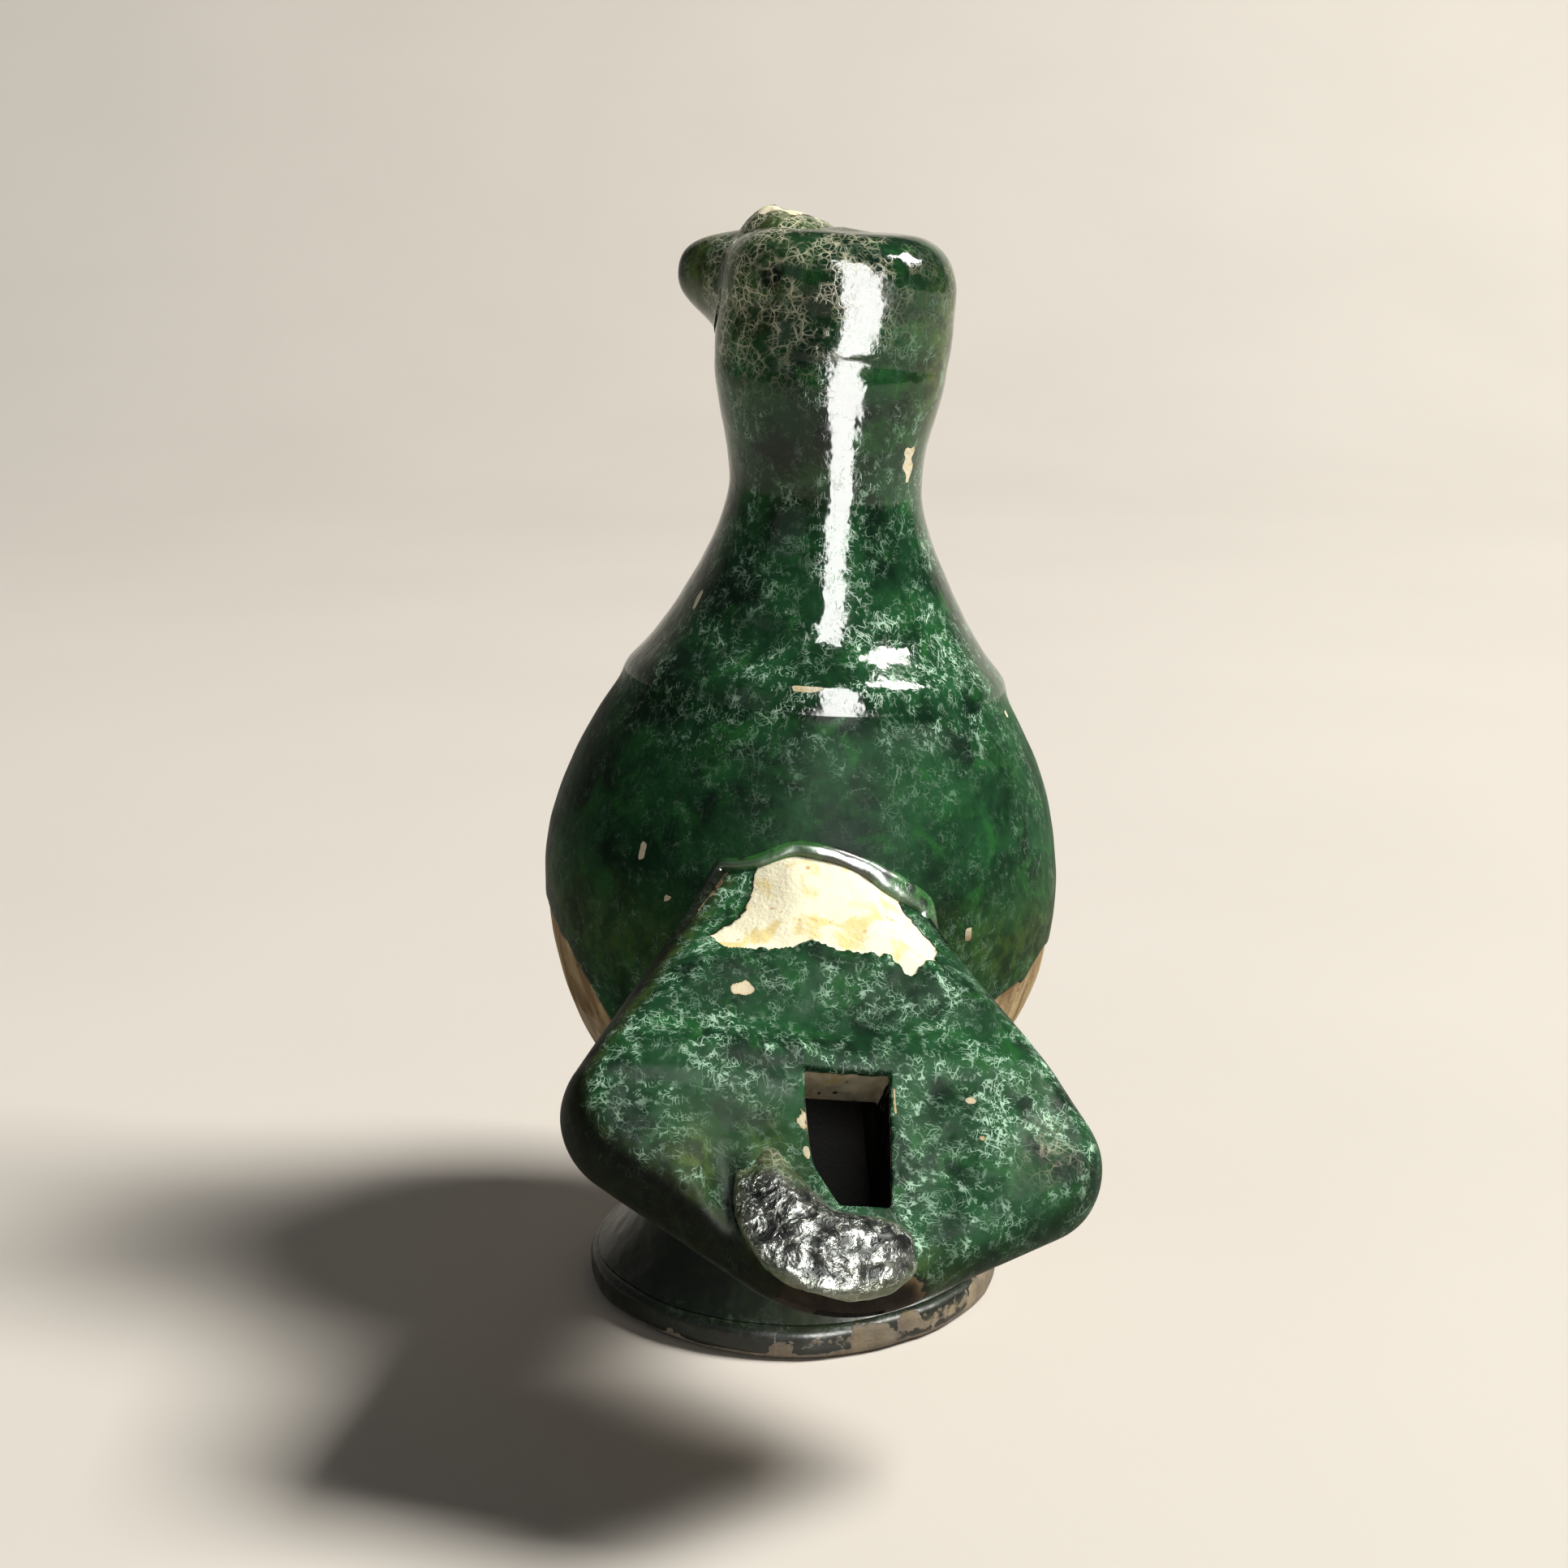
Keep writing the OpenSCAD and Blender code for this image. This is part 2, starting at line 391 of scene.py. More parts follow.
def finish_piece(piece: bpy.types.Object, paint: Paint, slot: Slot, node: str, corner: float = CORNER_DEG,
                 finish: "Finish | None" = None) -> None:
    """Gives a piece its coat, its finish and its place on the body, and hides the CAD node that it stands
    for.

    Args:
        piece: the object, at the origin.
        paint: the coat's values at its vertices.
        slot: the finish.
        node: the CAD node that it replaces.
        corner: angle in degrees above which an edge stays sharp.
        finish: another finish than the slot's usual one.
    """
    mesh = piece.data
    for name in Paint.__dataclass_fields__:
        attribute = mesh.attributes.new(name, "FLOAT", "POINT")
        attribute.data.foreach_set("value", getattr(paint, name).ravel().astype(np.float32))
    smooth_mesh(mesh, corner)
    mesh.materials.clear()
    mesh.materials.append((finish or FINISHES[slot]).material())
    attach(piece, BODY)
    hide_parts(node)
    log.info("%s: %d faces, %s", piece.name, len(mesh.polygons), slot.value)


# ---------------------------------------------------------------- finishes


def tone(red: int, green: int, blue: int) -> tuple[float, float, float, float]:
    """A colour given from 0 to 255 on screen, as linear light."""
    linear = [(c / 255 / 12.92) if c < 11 else ((c / 255 + 0.055) / 1.055) ** 2.4 for c in (red, green, blue)]
    return (*linear, 1.0)


BUFF = tone(128, 106, 76)
PALE_BUFF = tone(176, 156, 120)
SOOTY_BUFF = tone(82, 64, 46)
GRIT = tone(66, 50, 38)
CREAM = tone(244, 238, 208)
STAINED_CREAM = tone(230, 212, 152)
OCHRE = tone(200, 160, 96)
# Near black: painted shade on bare clay in hollows, passages and undersides.
PAINTED_HOLLOW_SHADE = tone(5, 4, 3)
DARK_MOSS = tone(46, 54, 20)
PALE_MOSS = tone(84, 102, 42)
WASHED_GREEN = tone(46, 102, 62)
# Near-black green: painted shade, mixed into the glaze where the dark attribute is high.
PAINTED_SHADE_BLACK = tone(9, 12, 9)
NET_CREAM = tone(206, 206, 176)
LIP_BROWN = tone(22, 24, 12)
DARK_PEWTER = tone(32, 34, 33)
PEWTER = tone(120, 123, 118)
# White specks on the metallic sheen: painted glints.
GLINT_WHITE = tone(222, 224, 216)
FLOOR_TONES = (tone(208, 203, 195), tone(216, 211, 203))


class Recipe:
    """A material's nodes, written as sums."""

    def __init__(self, name: str) -> None:
        """Starts a material with one shader and an object coordinate in millimetres.

        Args:
            name: its name.
        """
        self.material = bpy.data.materials.new(name)
        self.material.use_nodes = True
        self.tree = self.material.node_tree
        self.tree.nodes.clear()
        self.shader = self.tree.nodes.new("ShaderNodeBsdfPrincipled")
        output = self.tree.nodes.new("ShaderNodeOutputMaterial")
        self.tree.links.new(self.shader.outputs["BSDF"], output.inputs["Surface"])
        self.coords = self.tree.nodes.new("ShaderNodeTexCoord").outputs["Object"]
        self.place = self.mapped((1 / MM,) * 3)

    def put(self, value: Socket | float | tuple, socket: Socket) -> None:
        """Links a socket, or sets a plain value on it.

        Args:
            value: the socket or the number.
            socket: the input that it goes to.
        """
        if isinstance(value, bpy.types.NodeSocket):
            self.tree.links.new(value, socket)
        else:
            socket.default_value = value

    def mapped(self, scale: tuple, turn: tuple = (0, 0, 0), shift: tuple = (0, 0, 0)) -> Socket:
        """Object coordinates stretched, turned and shifted.

        Args:
            scale: factor along each axis, 1000 for millimetres.
            turn: degrees about each axis.
            shift: distance along each axis.

        Returns:
            The coordinates.
        """
        node = self.tree.nodes.new("ShaderNodeMapping")
        node.inputs["Scale"].default_value = scale
        node.inputs["Rotation"].default_value = [math.radians(t) for t in turn]
        node.inputs["Location"].default_value = shift
        self.tree.links.new(self.coords, node.inputs["Vector"])
        return node.outputs["Vector"]

    def sum(self, kind: str, a: Socket | float, b: Socket | float = 0.0, clamp: bool = False) -> Socket:
        """One step of arithmetic.

        Args:
            kind: the Math node's operation.
            a: the first number.
            b: the second number.
            clamp: whether the result stays between 0 and 1.

        Returns:
            The result.
        """
        node = self.tree.nodes.new("ShaderNodeMath")
        node.operation = kind
        node.use_clamp = clamp
        self.put(a, node.inputs[0])
        self.put(b, node.inputs[1])
        return node.outputs[0]

    def times(self, a: Socket | float, b: Socket | float, clamp: bool = False) -> Socket:
        """The product of two numbers."""
        return self.sum("MULTIPLY", a, b, clamp)

    def plus(self, a: Socket | float, b: Socket | float) -> Socket:
        """The sum of two numbers."""
        return self.sum("ADD", a, b)

    def most(self, a: Socket | float, b: Socket | float) -> Socket:
        """The larger of two numbers."""
        return self.sum("MAXIMUM", a, b)

    def noise(self, size: float, detail: float = 2, twist: float = 0, vector: Socket | None = None) -> Socket:
        """Noise from 0 to 1 with features about size millimetres across.

        Args:
            size: width of a feature in millimetres.
            detail: how many finer layers it has.
            twist: how strongly it folds over itself.
            vector: another coordinate than the piece's own.

        Returns:
            The noise.
        """
        node = self.tree.nodes.new("ShaderNodeTexNoise")
        node.inputs["Scale"].default_value = 1 / size
        node.inputs["Detail"].default_value = detail
        node.inputs["Distortion"].default_value = twist
        self.tree.links.new(vector or self.place, node.inputs["Vector"])
        return node.outputs["Fac"]

    def cells(self, size: float, feature: str = "DISTANCE_TO_EDGE", vector: Socket | None = None) -> Socket:
        """Distance to a cell's edge or centre, for cells about size millimetres across.

        Args:
            size: width of a cell in millimetres.
            feature: the Voronoi node's feature.
            vector: another coordinate than the piece's own.

        Returns:
            The distance, in cells.
        """
        node = self.tree.nodes.new("ShaderNodeTexVoronoi")
        node.feature = feature
        node.inputs["Scale"].default_value = 1 / size
        self.tree.links.new(vector or self.place, node.inputs["Vector"])
        return node.outputs["Distance"]

    def warped(self, size: float, amount: float) -> Socket:
        """Object coordinates in millimetres, pushed about by a noise.

        Args:
            size: width of the noise's features in millimetres.
            amount: how far it pushes at most.

        Returns:
            The coordinates.
        """
        noise = self.tree.nodes.new("ShaderNodeTexNoise")
        noise.inputs["Scale"].default_value = 1 / size
        self.tree.links.new(self.place, noise.inputs["Vector"])
        node = self.tree.nodes.new("ShaderNodeVectorMath")
        node.operation = "MULTIPLY_ADD"
        self.tree.links.new(noise.outputs["Color"], node.inputs[0])
        node.inputs[1].default_value = (amount,) * 3
        self.tree.links.new(self.place, node.inputs[2])
        return node.outputs["Vector"]

    def step(self, value: Socket, low: float, high: float) -> Socket:
        """A smooth step from 0 at low to 1 at high.

        Args:
            value: the number to step.
            low: where it is 0.
            high: where it is 1, which may be less than low.

        Returns:
            The share.
        """
        node = self.tree.nodes.new("ShaderNodeMapRange")
        node.interpolation_type = "SMOOTHSTEP"
        self.put(value, node.inputs["Value"])
        node.inputs["From Min"].default_value = min(low, high)
        node.inputs["From Max"].default_value = max(low, high)
        node.inputs["To Min"].default_value = 0.0 if low < high else 1.0
        node.inputs["To Max"].default_value = 1.0 if low < high else 0.0
        return node.outputs["Result"]

    def mix(self, share: Socket | float, a: Socket | tuple, b: Socket | tuple) -> Socket:
        """Colour a turned into colour b by a share.

        Args:
            share: how much of b there is.
            a: what it is at 0.
            b: what it is at 1.

        Returns:
            The mix.
        """
        node = self.tree.nodes.new("ShaderNodeMix")
        node.data_type = "RGBA"
        self.put(share, node.inputs[0])
        self.put(a, node.inputs[6])
        self.put(b, node.inputs[7])
        return node.outputs[2]

    def blend(self, share: Socket | float, a: Socket | float, b: Socket | float) -> Socket:
        """Number a turned into number b by a share.

        Args:
            share: how much of b there is.
            a: what it is at 0.
            b: what it is at 1.

        Returns:
            The mix.
        """
        node = self.tree.nodes.new("ShaderNodeMix")
        node.data_type = "FLOAT"
        self.put(share, node.inputs[0])
        self.put(a, node.inputs[2])
        self.put(b, node.inputs[3])
        return node.outputs[0]

    def read(self, name: str) -> Socket:
        """A piece's own attribute.

        Args:
            name: its name.

        Returns:
            The attribute's value.
        """
        node = self.tree.nodes.new("ShaderNodeAttribute")
        node.attribute_name = name
        return node.outputs["Fac"]

    def strand(self, size: float, width: float, twist: float, vector: Socket | None = None) -> Socket:
        """Thin tangled lines: 1 where a noise passes through its middle value.

        Args:
            size: width of the noise's features in millimetres.
            width: how near to the middle value a line ends.
            twist: how strongly the noise folds over itself.
            vector: another coordinate than the piece's own.

        Returns:
            1 on a line and 0 off it.
        """
        off = self.sum("ABSOLUTE", self.sum("SUBTRACT", self.noise(size, 1, twist, vector), 0.5))
        return self.step(off, width, width * 0.25)

    def relief(self, height: Socket, depth: float) -> None:
        """Bumps the shader's normal by a height.

        Args:
            height: the height, from 0 to 1.
            depth: its full range in millimetres.
        """
        node = self.tree.nodes.new("ShaderNodeBump")
        node.inputs["Strength"].default_value = 1.0
        node.inputs["Distance"].default_value = depth * MM
        self.tree.links.new(height, node.inputs["Height"])
        self.tree.links.new(node.outputs["Normal"], self.shader.inputs["Normal"])


@dataclass(frozen=True)
class Finish:
    """One fired finish: glaze over clay, with the clay showing where the coat is missing."""

    name: str
    deep: tuple = tone(13, 34, 22)
    body: tuple = tone(30, 72, 42)
    bright: tuple = tone(44, 108, 46)
    thread: tuple = tone(172, 208, 182)
    gloss: float = 0.07
    tangle: float = 1.0
    specular: float = 0.5

    def clay(self, r: Recipe) -> tuple[Socket, Socket]:
        """Bare clay: buff with brown streaks and dark grit; fresh breaks are cream with ochre stains; it is
        painted black as shade where the dark attribute is high.

        Args:
            r: the material's nodes.

        Returns:
            Its colour, and its height for the relief.
        """
        streaks = r.noise(1.6, 4, 0.4, r.mapped((900, 900, 160)))
        buff = r.mix(r.step(streaks, 0.35, 0.68), BUFF, PALE_BUFF)
        soot = r.step(r.noise(7, 3), 0.5, 0.7)
        buff = r.mix(r.times(soot, 0.55), buff, SOOTY_BUFF)
        grit = r.step(r.cells(1.5, "F1"), 0.2, 0.1)
        buff = r.mix(r.times(grit, 0.5), buff, GRIT)
        stain = r.step(r.noise(3.4, 4, 1.2), 0.5, 0.66)
        cream = r.mix(stain, CREAM, STAINED_CREAM)
        cream = r.mix(r.step(r.noise(1.2, 3), 0.62, 0.74), cream, OCHRE)
        colour = r.mix(r.read("fresh"), buff, cream)
        # Painted shade: bare clay turns near black where the dark attribute is high.
        colour = r.mix(r.step(r.read("dark"), 0.5, 1.0), colour, PAINTED_HOLLOW_SHADE)
        height = r.plus(r.noise(0.35, 3), r.times(r.noise(1.4, 3), 1.2))
        return colour, height

    def scratches(self, r: Recipe) -> Socket:
        """Pale curls: the strongest of five tangles, three of them stretched and turned.

        Args:
            r: the material's nodes.

        Returns:
            1 on a curl and 0 off it.
        """
        long_way = r.mapped((1000, 1000, 300), (12, 25, 0))
        slant = r.mapped((1000, 460, 360), (-24, -48, 15), (31, 7, 3))
        cross = r.mapped((420, 1000, 800), (35, -12, 60), (9, 17, 5))
        curls = r.strand(1.9, 0.015, 1.1)
        for size, width, twist, vector in ((1.4, 0.015, 0.9, slant), (1.3, 0.013, 0.5, long_way),
                                           (1.1, 0.015, 0.7, cross), (0.8, 0.02, 0.7, None)):
            curls = r.most(curls, r.strand(size, width, twist, vector))
        return curls

    def glaze(self, r: Recipe) -> tuple[Socket, Socket]:
        """Mottled green glaze with pale threads, a net of worn lines and painted shade.

        Args:
            r: the material's nodes.

        Returns:
            Its colour, and the share of threads and net.
        """
        green = r.mix(r.step(r.noise(5.5, 4, 0.5), 0.32, 0.66), self.deep, self.body)
        clouds = r.step(r.noise(3.1, 5, 0.8), 0.5, 0.74)
        green = r.mix(r.times(clouds, 0.45), green, self.bright)
        green = r.mix(r.times(r.step(r.noise(0.7, 4), 0.5, 0.72), 0.35), green, self.deep)
        moss = r.mix(r.step(r.noise(1.4, 4), 0.4, 0.65), DARK_MOSS, PALE_MOSS)
        green = r.mix(r.read("olive"), green, moss)
        dense = r.read("threads")
        drift = r.noise(3.4, 6, 0.7)
        wash = r.times(r.times(r.step(drift, 0.42, 0.66), dense), 0.4)
        green = r.mix(wash, green, WASHED_GREEN)
        curls = self.scratches(r)
        dashes = r.times(curls, r.step(r.noise(0.9, 2), 0.42, 0.54))
        faint = r.times(r.step(drift, 0.34, 0.54), 0.5)
        strong = r.times(r.step(drift, 0.5, 0.64), 0.8)
        haze = r.times(r.step(r.noise(0.5, 5, 0.8), 0.54, 0.72), r.times(strong, 0.35))
        threads = r.times(dashes, r.plus(faint, strong))
        threads = r.times(r.most(threads, haze), dense)
        threads = r.times(threads, self.tangle, True)
        green = r.mix(threads, green, self.thread)
        # Painted shade: the glaze is darkened towards near black by the dark attribute, in hollows,
        # undersides and on the side away from the light.
        green = r.mix(r.read("dark"), green, PAINTED_SHADE_BLACK)
        bent = r.warped(1.1, 0.6)
        wide_net = r.step(r.cells(1.0, vector=bent), 0.075, 0.03)
        fine_net = r.times(r.step(r.cells(0.55, vector=bent), 0.09, 0.04), 0.6)
        broken = r.step(r.noise(1.9, 5, 0.3), 0.4, 0.6)
        net = r.times(r.most(wide_net, fine_net), r.times(broken, r.read("net")))
        green = r.mix(net, green, NET_CREAM)
        return green, r.most(threads, net)

    def material(self) -> bpy.types.Material:
        """The finish's material, made once: clay, glaze and metal sheen mixed by the piece's own coat.

        Returns:
            The material.
        """
        made = bpy.data.materials.get(self.name)
        if made:
            return made
        r = Recipe(self.name)
        clay, grain = self.clay(r)
        green, worn = self.glaze(r)
        frayed = r.plus(r.read("glaze"), r.times(r.sum("SUBTRACT", r.noise(0.8, 4), 0.5), 0.5))
        cover = r.step(frayed, 0.46, 0.54)
        lip = r.times(r.step(frayed, 0.42, 0.5), r.step(frayed, 0.74, 0.56))
        green = r.mix(r.times(lip, 0.8), green, LIP_BROWN)
        metal = r.read("metal")
        pits = r.step(r.noise(1.5, 5, 0.6), 0.38, 0.62)
        pewter = r.mix(pits, DARK_PEWTER, PEWTER)
        # Painted glints: white specks on the pewter where a noise peaks.
        glint_specks = r.step(r.noise(0.48, 4, 1.0), 0.55, 0.64)
        pewter = r.mix(r.times(glint_specks, pits), pewter, GLINT_WHITE)
        green = r.mix(metal, green, pewter)
        r.put(r.mix(cover, clay, green), r.shader.inputs["Base Color"])
        smear = r.step(r.noise(2.2, 4), 0.45, 0.75)
        shine = r.plus(self.gloss, r.times(smear, 0.07))
        shine = r.plus(shine, r.times(worn, 0.12))
        shine = r.plus(shine, r.times(r.read("satin"), 0.42))
        shine = r.blend(metal, shine, r.blend(pits, 0.4, 0.22))
        r.put(r.blend(cover, 0.82, shine), r.shader.inputs["Roughness"])
        r.put(r.times(r.times(metal, cover), 0.75), r.shader.inputs["Metallic"])
        r.shader.inputs["IOR"].default_value = GLAZE_IOR
        r.shader.inputs["Specular IOR Level"].default_value = self.specular
        peel = r.plus(r.times(r.noise(1.5, 2), 0.4), r.times(worn, 0.08))
        peel = r.plus(peel, r.times(r.times(r.plus(pits, glint_specks), metal), 0.9))
        r.relief(r.blend(cover, r.times(grain, 0.45), peel), 0.16)
        return r.material


FINISHES = {
    Slot.GREEN: Finish("fired_green", specular=0.2),
    Slot.POOLED: Finish("fired_pooled_green", body=tone(50, 116, 50), bright=tone(82, 148, 74), tangle=0.5),
    Slot.THIN: Finish("fired_thin_green", body=tone(38, 64, 34), bright=tone(60, 90, 44),
                      gloss=0.14, tangle=0.8, specular=0.25),
    Slot.WORN: Finish("fired_worn_green", body=tone(34, 52, 32), thread=tone(200, 196, 162),
                      gloss=0.2, specular=0.25),
    Slot.METALLIC: Finish("fired_metallic_green", deep=tone(52, 58, 36), body=tone(84, 92, 58),
                          bright=tone(104, 112, 74), gloss=0.2, tangle=0.4, specular=0.3),
    Slot.CLAY: Finish("fired_buff_clay", gloss=0.16, specular=0.35),
}
SATIN_GREEN = Finish("fired_satin_green", specular=0.015)
TAIL_GREEN = Finish("fired_tail_green", specular=0.025)
# A darker green for the tail's underside: painted shade.
UNDERSIDE_SHADE_GREEN = Finish("fired_underside_shade_green", body=tone(30, 50, 28), specular=0.04)


# ---------------------------------------------------------------- the round body


BODY_MARKS = (
    Mark(0.35, 91.5, 4.2, -18, 34),
    Mark(-0.45, 81, 3.4, -25, 30),
    Mark(0.6, 88, 9, 180, 50),
    Mark(-0.3, 88.6, 0.9, -85, 50),
    Mark(-0.3, 67, 6, -60, 20),
)
BODY_CHIPS = (
    Chip(80.3, -41, 0.9, 1.6),
    Chip(61.6, -97, 1.9, 0.3),
    Chip(67.2, -156, 0.35, 1.0),
    Chip(46.9, -132.5, 0.3, 0.9),
    Chip(43.5, -124, 0.25, 0.3),
    Chip(41.4, -57, 0.25, 0.8),
    Chip(58, -20, 0.4, 0.35),
)
BODY_OLIVE = (Mark(0.75, 89, 7, -22, 24), Mark(0.5, 95, 5, -150, 30), Mark(0.2, 78, 3, -110, 20))
# Painted shade: on the neck's left and in the groove under the shoulder fold.
BODY_PAINTED_SHADE = (Mark(0.5, 81, 3.5, -122, 16), Mark(0.8, 59.6, 0.8, -94, 9))


@dataclass
class Body:
    """The outside of the round, leaning body, which the bands of clay from the waist to the nape share."""

    belly_r: float = 24.1
    groove_r: float = 10.5
    belly_z: float = 40.5
    seam_z: float = 29.0
    wall: float = 3.6
    lean: float = math.radians(3.4)
    lean_z: float = 27.0
    lean_ease: float = 7.0
    shoulder_r: float = 17.3
    shoulder_z: float = 59.5
    neck_r: float = 8.9
    neck_z: float = 77.0
    head_z: float = 88.0
    nape_r: float = 10.2
    head_turn: float = math.radians(152.0)
    waist_z: float = field(default_factory=lambda: float(box_mm("foot_disc")[1][2]))

    def radius(self, h: Array) -> Array:
        """Radius at a height: each stretch is its end radius plus or less a power of the way along it.

        Bowl: belly_r - (belly_r - groove_r) t^2.1. Dome: belly_r - (belly_r - shoulder_r) t^1.75. Neck:
        neck_r + (skirt - neck_r) t^1.6, plus a smooth step out to nape_r. The dome melts into the neck over
        2.4 mm.

        Args:
            h: heights along the spine.

        Returns:
            The radii.
        """
        down = np.clip((self.belly_z - h) / (self.belly_z - self.waist_z), 0, None)
        up = np.clip((h - self.belly_z) / (self.shoulder_z - self.belly_z), 0, None)
        flare = np.clip((self.neck_z - h) / (self.neck_z - self.shoulder_z), 0, None)
        rise = ease(self.neck_z, self.head_z, h)
        belly = self.belly_r - (self.belly_r - self.groove_r) * down**2.1
        belly -= (self.belly_r - self.shoulder_r) * up**1.75
        neck = self.neck_r + (self.shoulder_r + 0.3 - self.neck_r) * flare**1.6
        neck += (self.nape_r - self.neck_r) * rise
        melt = ease(self.shoulder_z - 1, self.shoulder_z + 1.4, h)
        return belly * (1 - melt) + neck * melt

    def point(self, h: Array, theta: Array, r: Array) -> Array:
        """The point at height h along the leaning spine, at angle theta and radius r.

        The lean grows from 0 to its full angle as a smooth step about lean_z, and the spine is that angle
        summed.

        Args:
            h: heights along the spine.
            theta: angles from +X.
            r: distances from the spine.

        Returns:
            The points.
        """
        u = np.clip((h - self.lean_z + self.lean_ease) / (2 * self.lean_ease), 0, 1)
        tilt = self.lean * (3 * u**2 - 2 * u**3)
        above = np.clip(h - self.lean_z - self.lean_ease, 0, None)
        shift = math.sin(self.lean) * (2 * self.lean_ease * (u**3 - u**4 / 2) + above)
        sink = (1 - math.cos(self.lean)) * np.clip(h - self.lean_z, 0, None)
        across = r * np.cos(theta)
        return xyz(shift + across * np.cos(tilt), r * np.sin(theta), h - sink - across * np.sin(tilt))

    def features(self, h: Array, theta: Array) -> Array:
        """The hand's marks: the fold at the shoulder, the neck's flattened back, and the body's own marks.

        Args:
            h: heights along the spine.
            theta: angles from +X.

        Returns:
            How far each place stands out, in millimetres.
        """
        fold = self.shoulder_z + 0.7 - 1.7 * np.sin(theta)
        marks = 0.42 * bump(h - fold, 1.3) * (0.55 + 0.45 * towards(theta, -88, 60))
        marks -= 0.3 * bump(h - fold + 2.6, 1.6) * towards(theta, -95, 70)
        marks -= 0.35 * bump(h - fold - 3.2, 2.2) * towards(theta, -95, 80)
        marks -= 0.9 * ease(self.neck_z, self.head_z - 1, h) * towards(theta, -86, 38)
        return marks + summed(BODY_MARKS, h, theta)

    def relief(self, h: Array, theta: Array, r: Array) -> Array:
        """How far the surface stands off its plain radius: lumps, throwing lines, peel, marks and glaze.

        Args:
            h: heights along the spine.
            theta: angles from +X.
            r: plain radii.

        Returns:
            The stand in millimetres.
        """
        plain = self.point(h, theta, r)
        rings = 0.012 * np.sin(h * 1.7 + 2.5 * LUMPS.at(plain, 14)) * ease(16, 20, h)
        return (0.34 * LUMPS.at(plain, 13) + 0.07 * LUMPS.at(plain, 5) + 0.012 * PEEL.at(plain, 1.8, 2)
                + rings + self.features(h, theta) + GLAZE_T * ease(0.35, 0.75, self.coat(h, theta)))

    def stand(self, h: Array, theta: Array, r: Array) -> Array:
        """The relief less the glaze's thickness, so that the glazed outside keeps to the plain radius."""
        return self.relief(h, theta, r) - GLAZE_T

    def skin(self, h: Array, theta: Array) -> Array:
        """The finished outside at a height and an angle."""
        r = self.radius(h)
        return self.point(h, theta, r + self.stand(h, theta, r))

    def coat(self, h: Array, theta: Array) -> Array:
        """The glaze's cover, above 0.5 where it is glazed.

        The lower edge is a wavy line, lower beside the tail, with drips: narrow tongues where a fine noise
        round the body peaks. It falls from glazed to bare over a millimetre and a half. Small chips are cut
        out of it.

        Args:
            h: heights along the spine.
            theta: angles from +X.

        Returns:
            The cover, from 0 to 1.
        """
        ring = xyz(np.cos(theta) * 24, np.sin(theta) * 24, 0 * h)
        tail_side = bump(np.angle(np.exp(1j * (theta + math.pi / 2))), 0.85)
        line = 37.2 - 6.5 * tail_side + 1.2 * LUMPS.at(ring, 17) + 0.5 * RAGGED.at(ring, 3.2)
        tongue = np.clip(RAGGED.at(ring, 4.3) - 0.28, 0, None) * 12
        cover = ease(-0.9, 0.9, h - line + tongue)
        for chip in BODY_CHIPS:
            across = (theta - math.radians(chip.at_turn)) * self.radius(np.asarray(chip.at_h, float))
            place = np.hypot(across / chip.wide, (h - chip.at_h) / chip.tall)
            place = place + 0.35 * RAGGED.at(xyz(h, across, 0.0), 0.7)
            cover = np.minimum(cover, ease(0.7, 1.15, place))
        return cover

    def paint(self, h: Array, theta: Array, glaze: Array | None = None) -> Paint:
        """The body's coat: threads are denser on the neck and the shoulder, and painted shade darkens the
        left.

        Args:
            h: heights along the spine.
            theta: angles from +X.
            glaze: the glaze's cover, if it isn't the body's usual one.

        Returns:
            The coat.
        """
        glaze = self.coat(h, theta) if glaze is None else glaze
        threads = 0.12 + 0.55 * bump(h - 62, 4.5) + 0.3 * bump(h - 77, 11) + 0.1 * bump(h - 33, 4)
        threads += Mark(0.4, 66, 8, -55, 30).on(h, theta)
        satin = 0.9 * ease(60.5, 57, h)
        olive = summed(BODY_OLIVE, h, theta) + 0.35 * bump(h - 39, 4)
        # Painted shade: darker on the left side, away from the light, more so lower down, and in the marks
        # above.
        dark = 0.5 * towards(theta, 178, 38) * ease(95, 40, h) + summed(BODY_PAINTED_SHADE, h, theta)
        net = 0.85 * ease(84, 95, h + 3 * np.cos(theta - self.head_turn))
        net = net * (1 - 0.9 * towards(theta, -40, 38))
        fresh = 0.6 * ease(40.5, 42, h)
        return Paint.even(np.broadcast(h, theta).shape, glaze=glaze, threads=np.clip(threads, 0, 1),
                          olive=np.clip(olive, 0, 0.9), dark=np.clip(dark, 0, 0.9), net=net, fresh=fresh,
                          satin=satin)


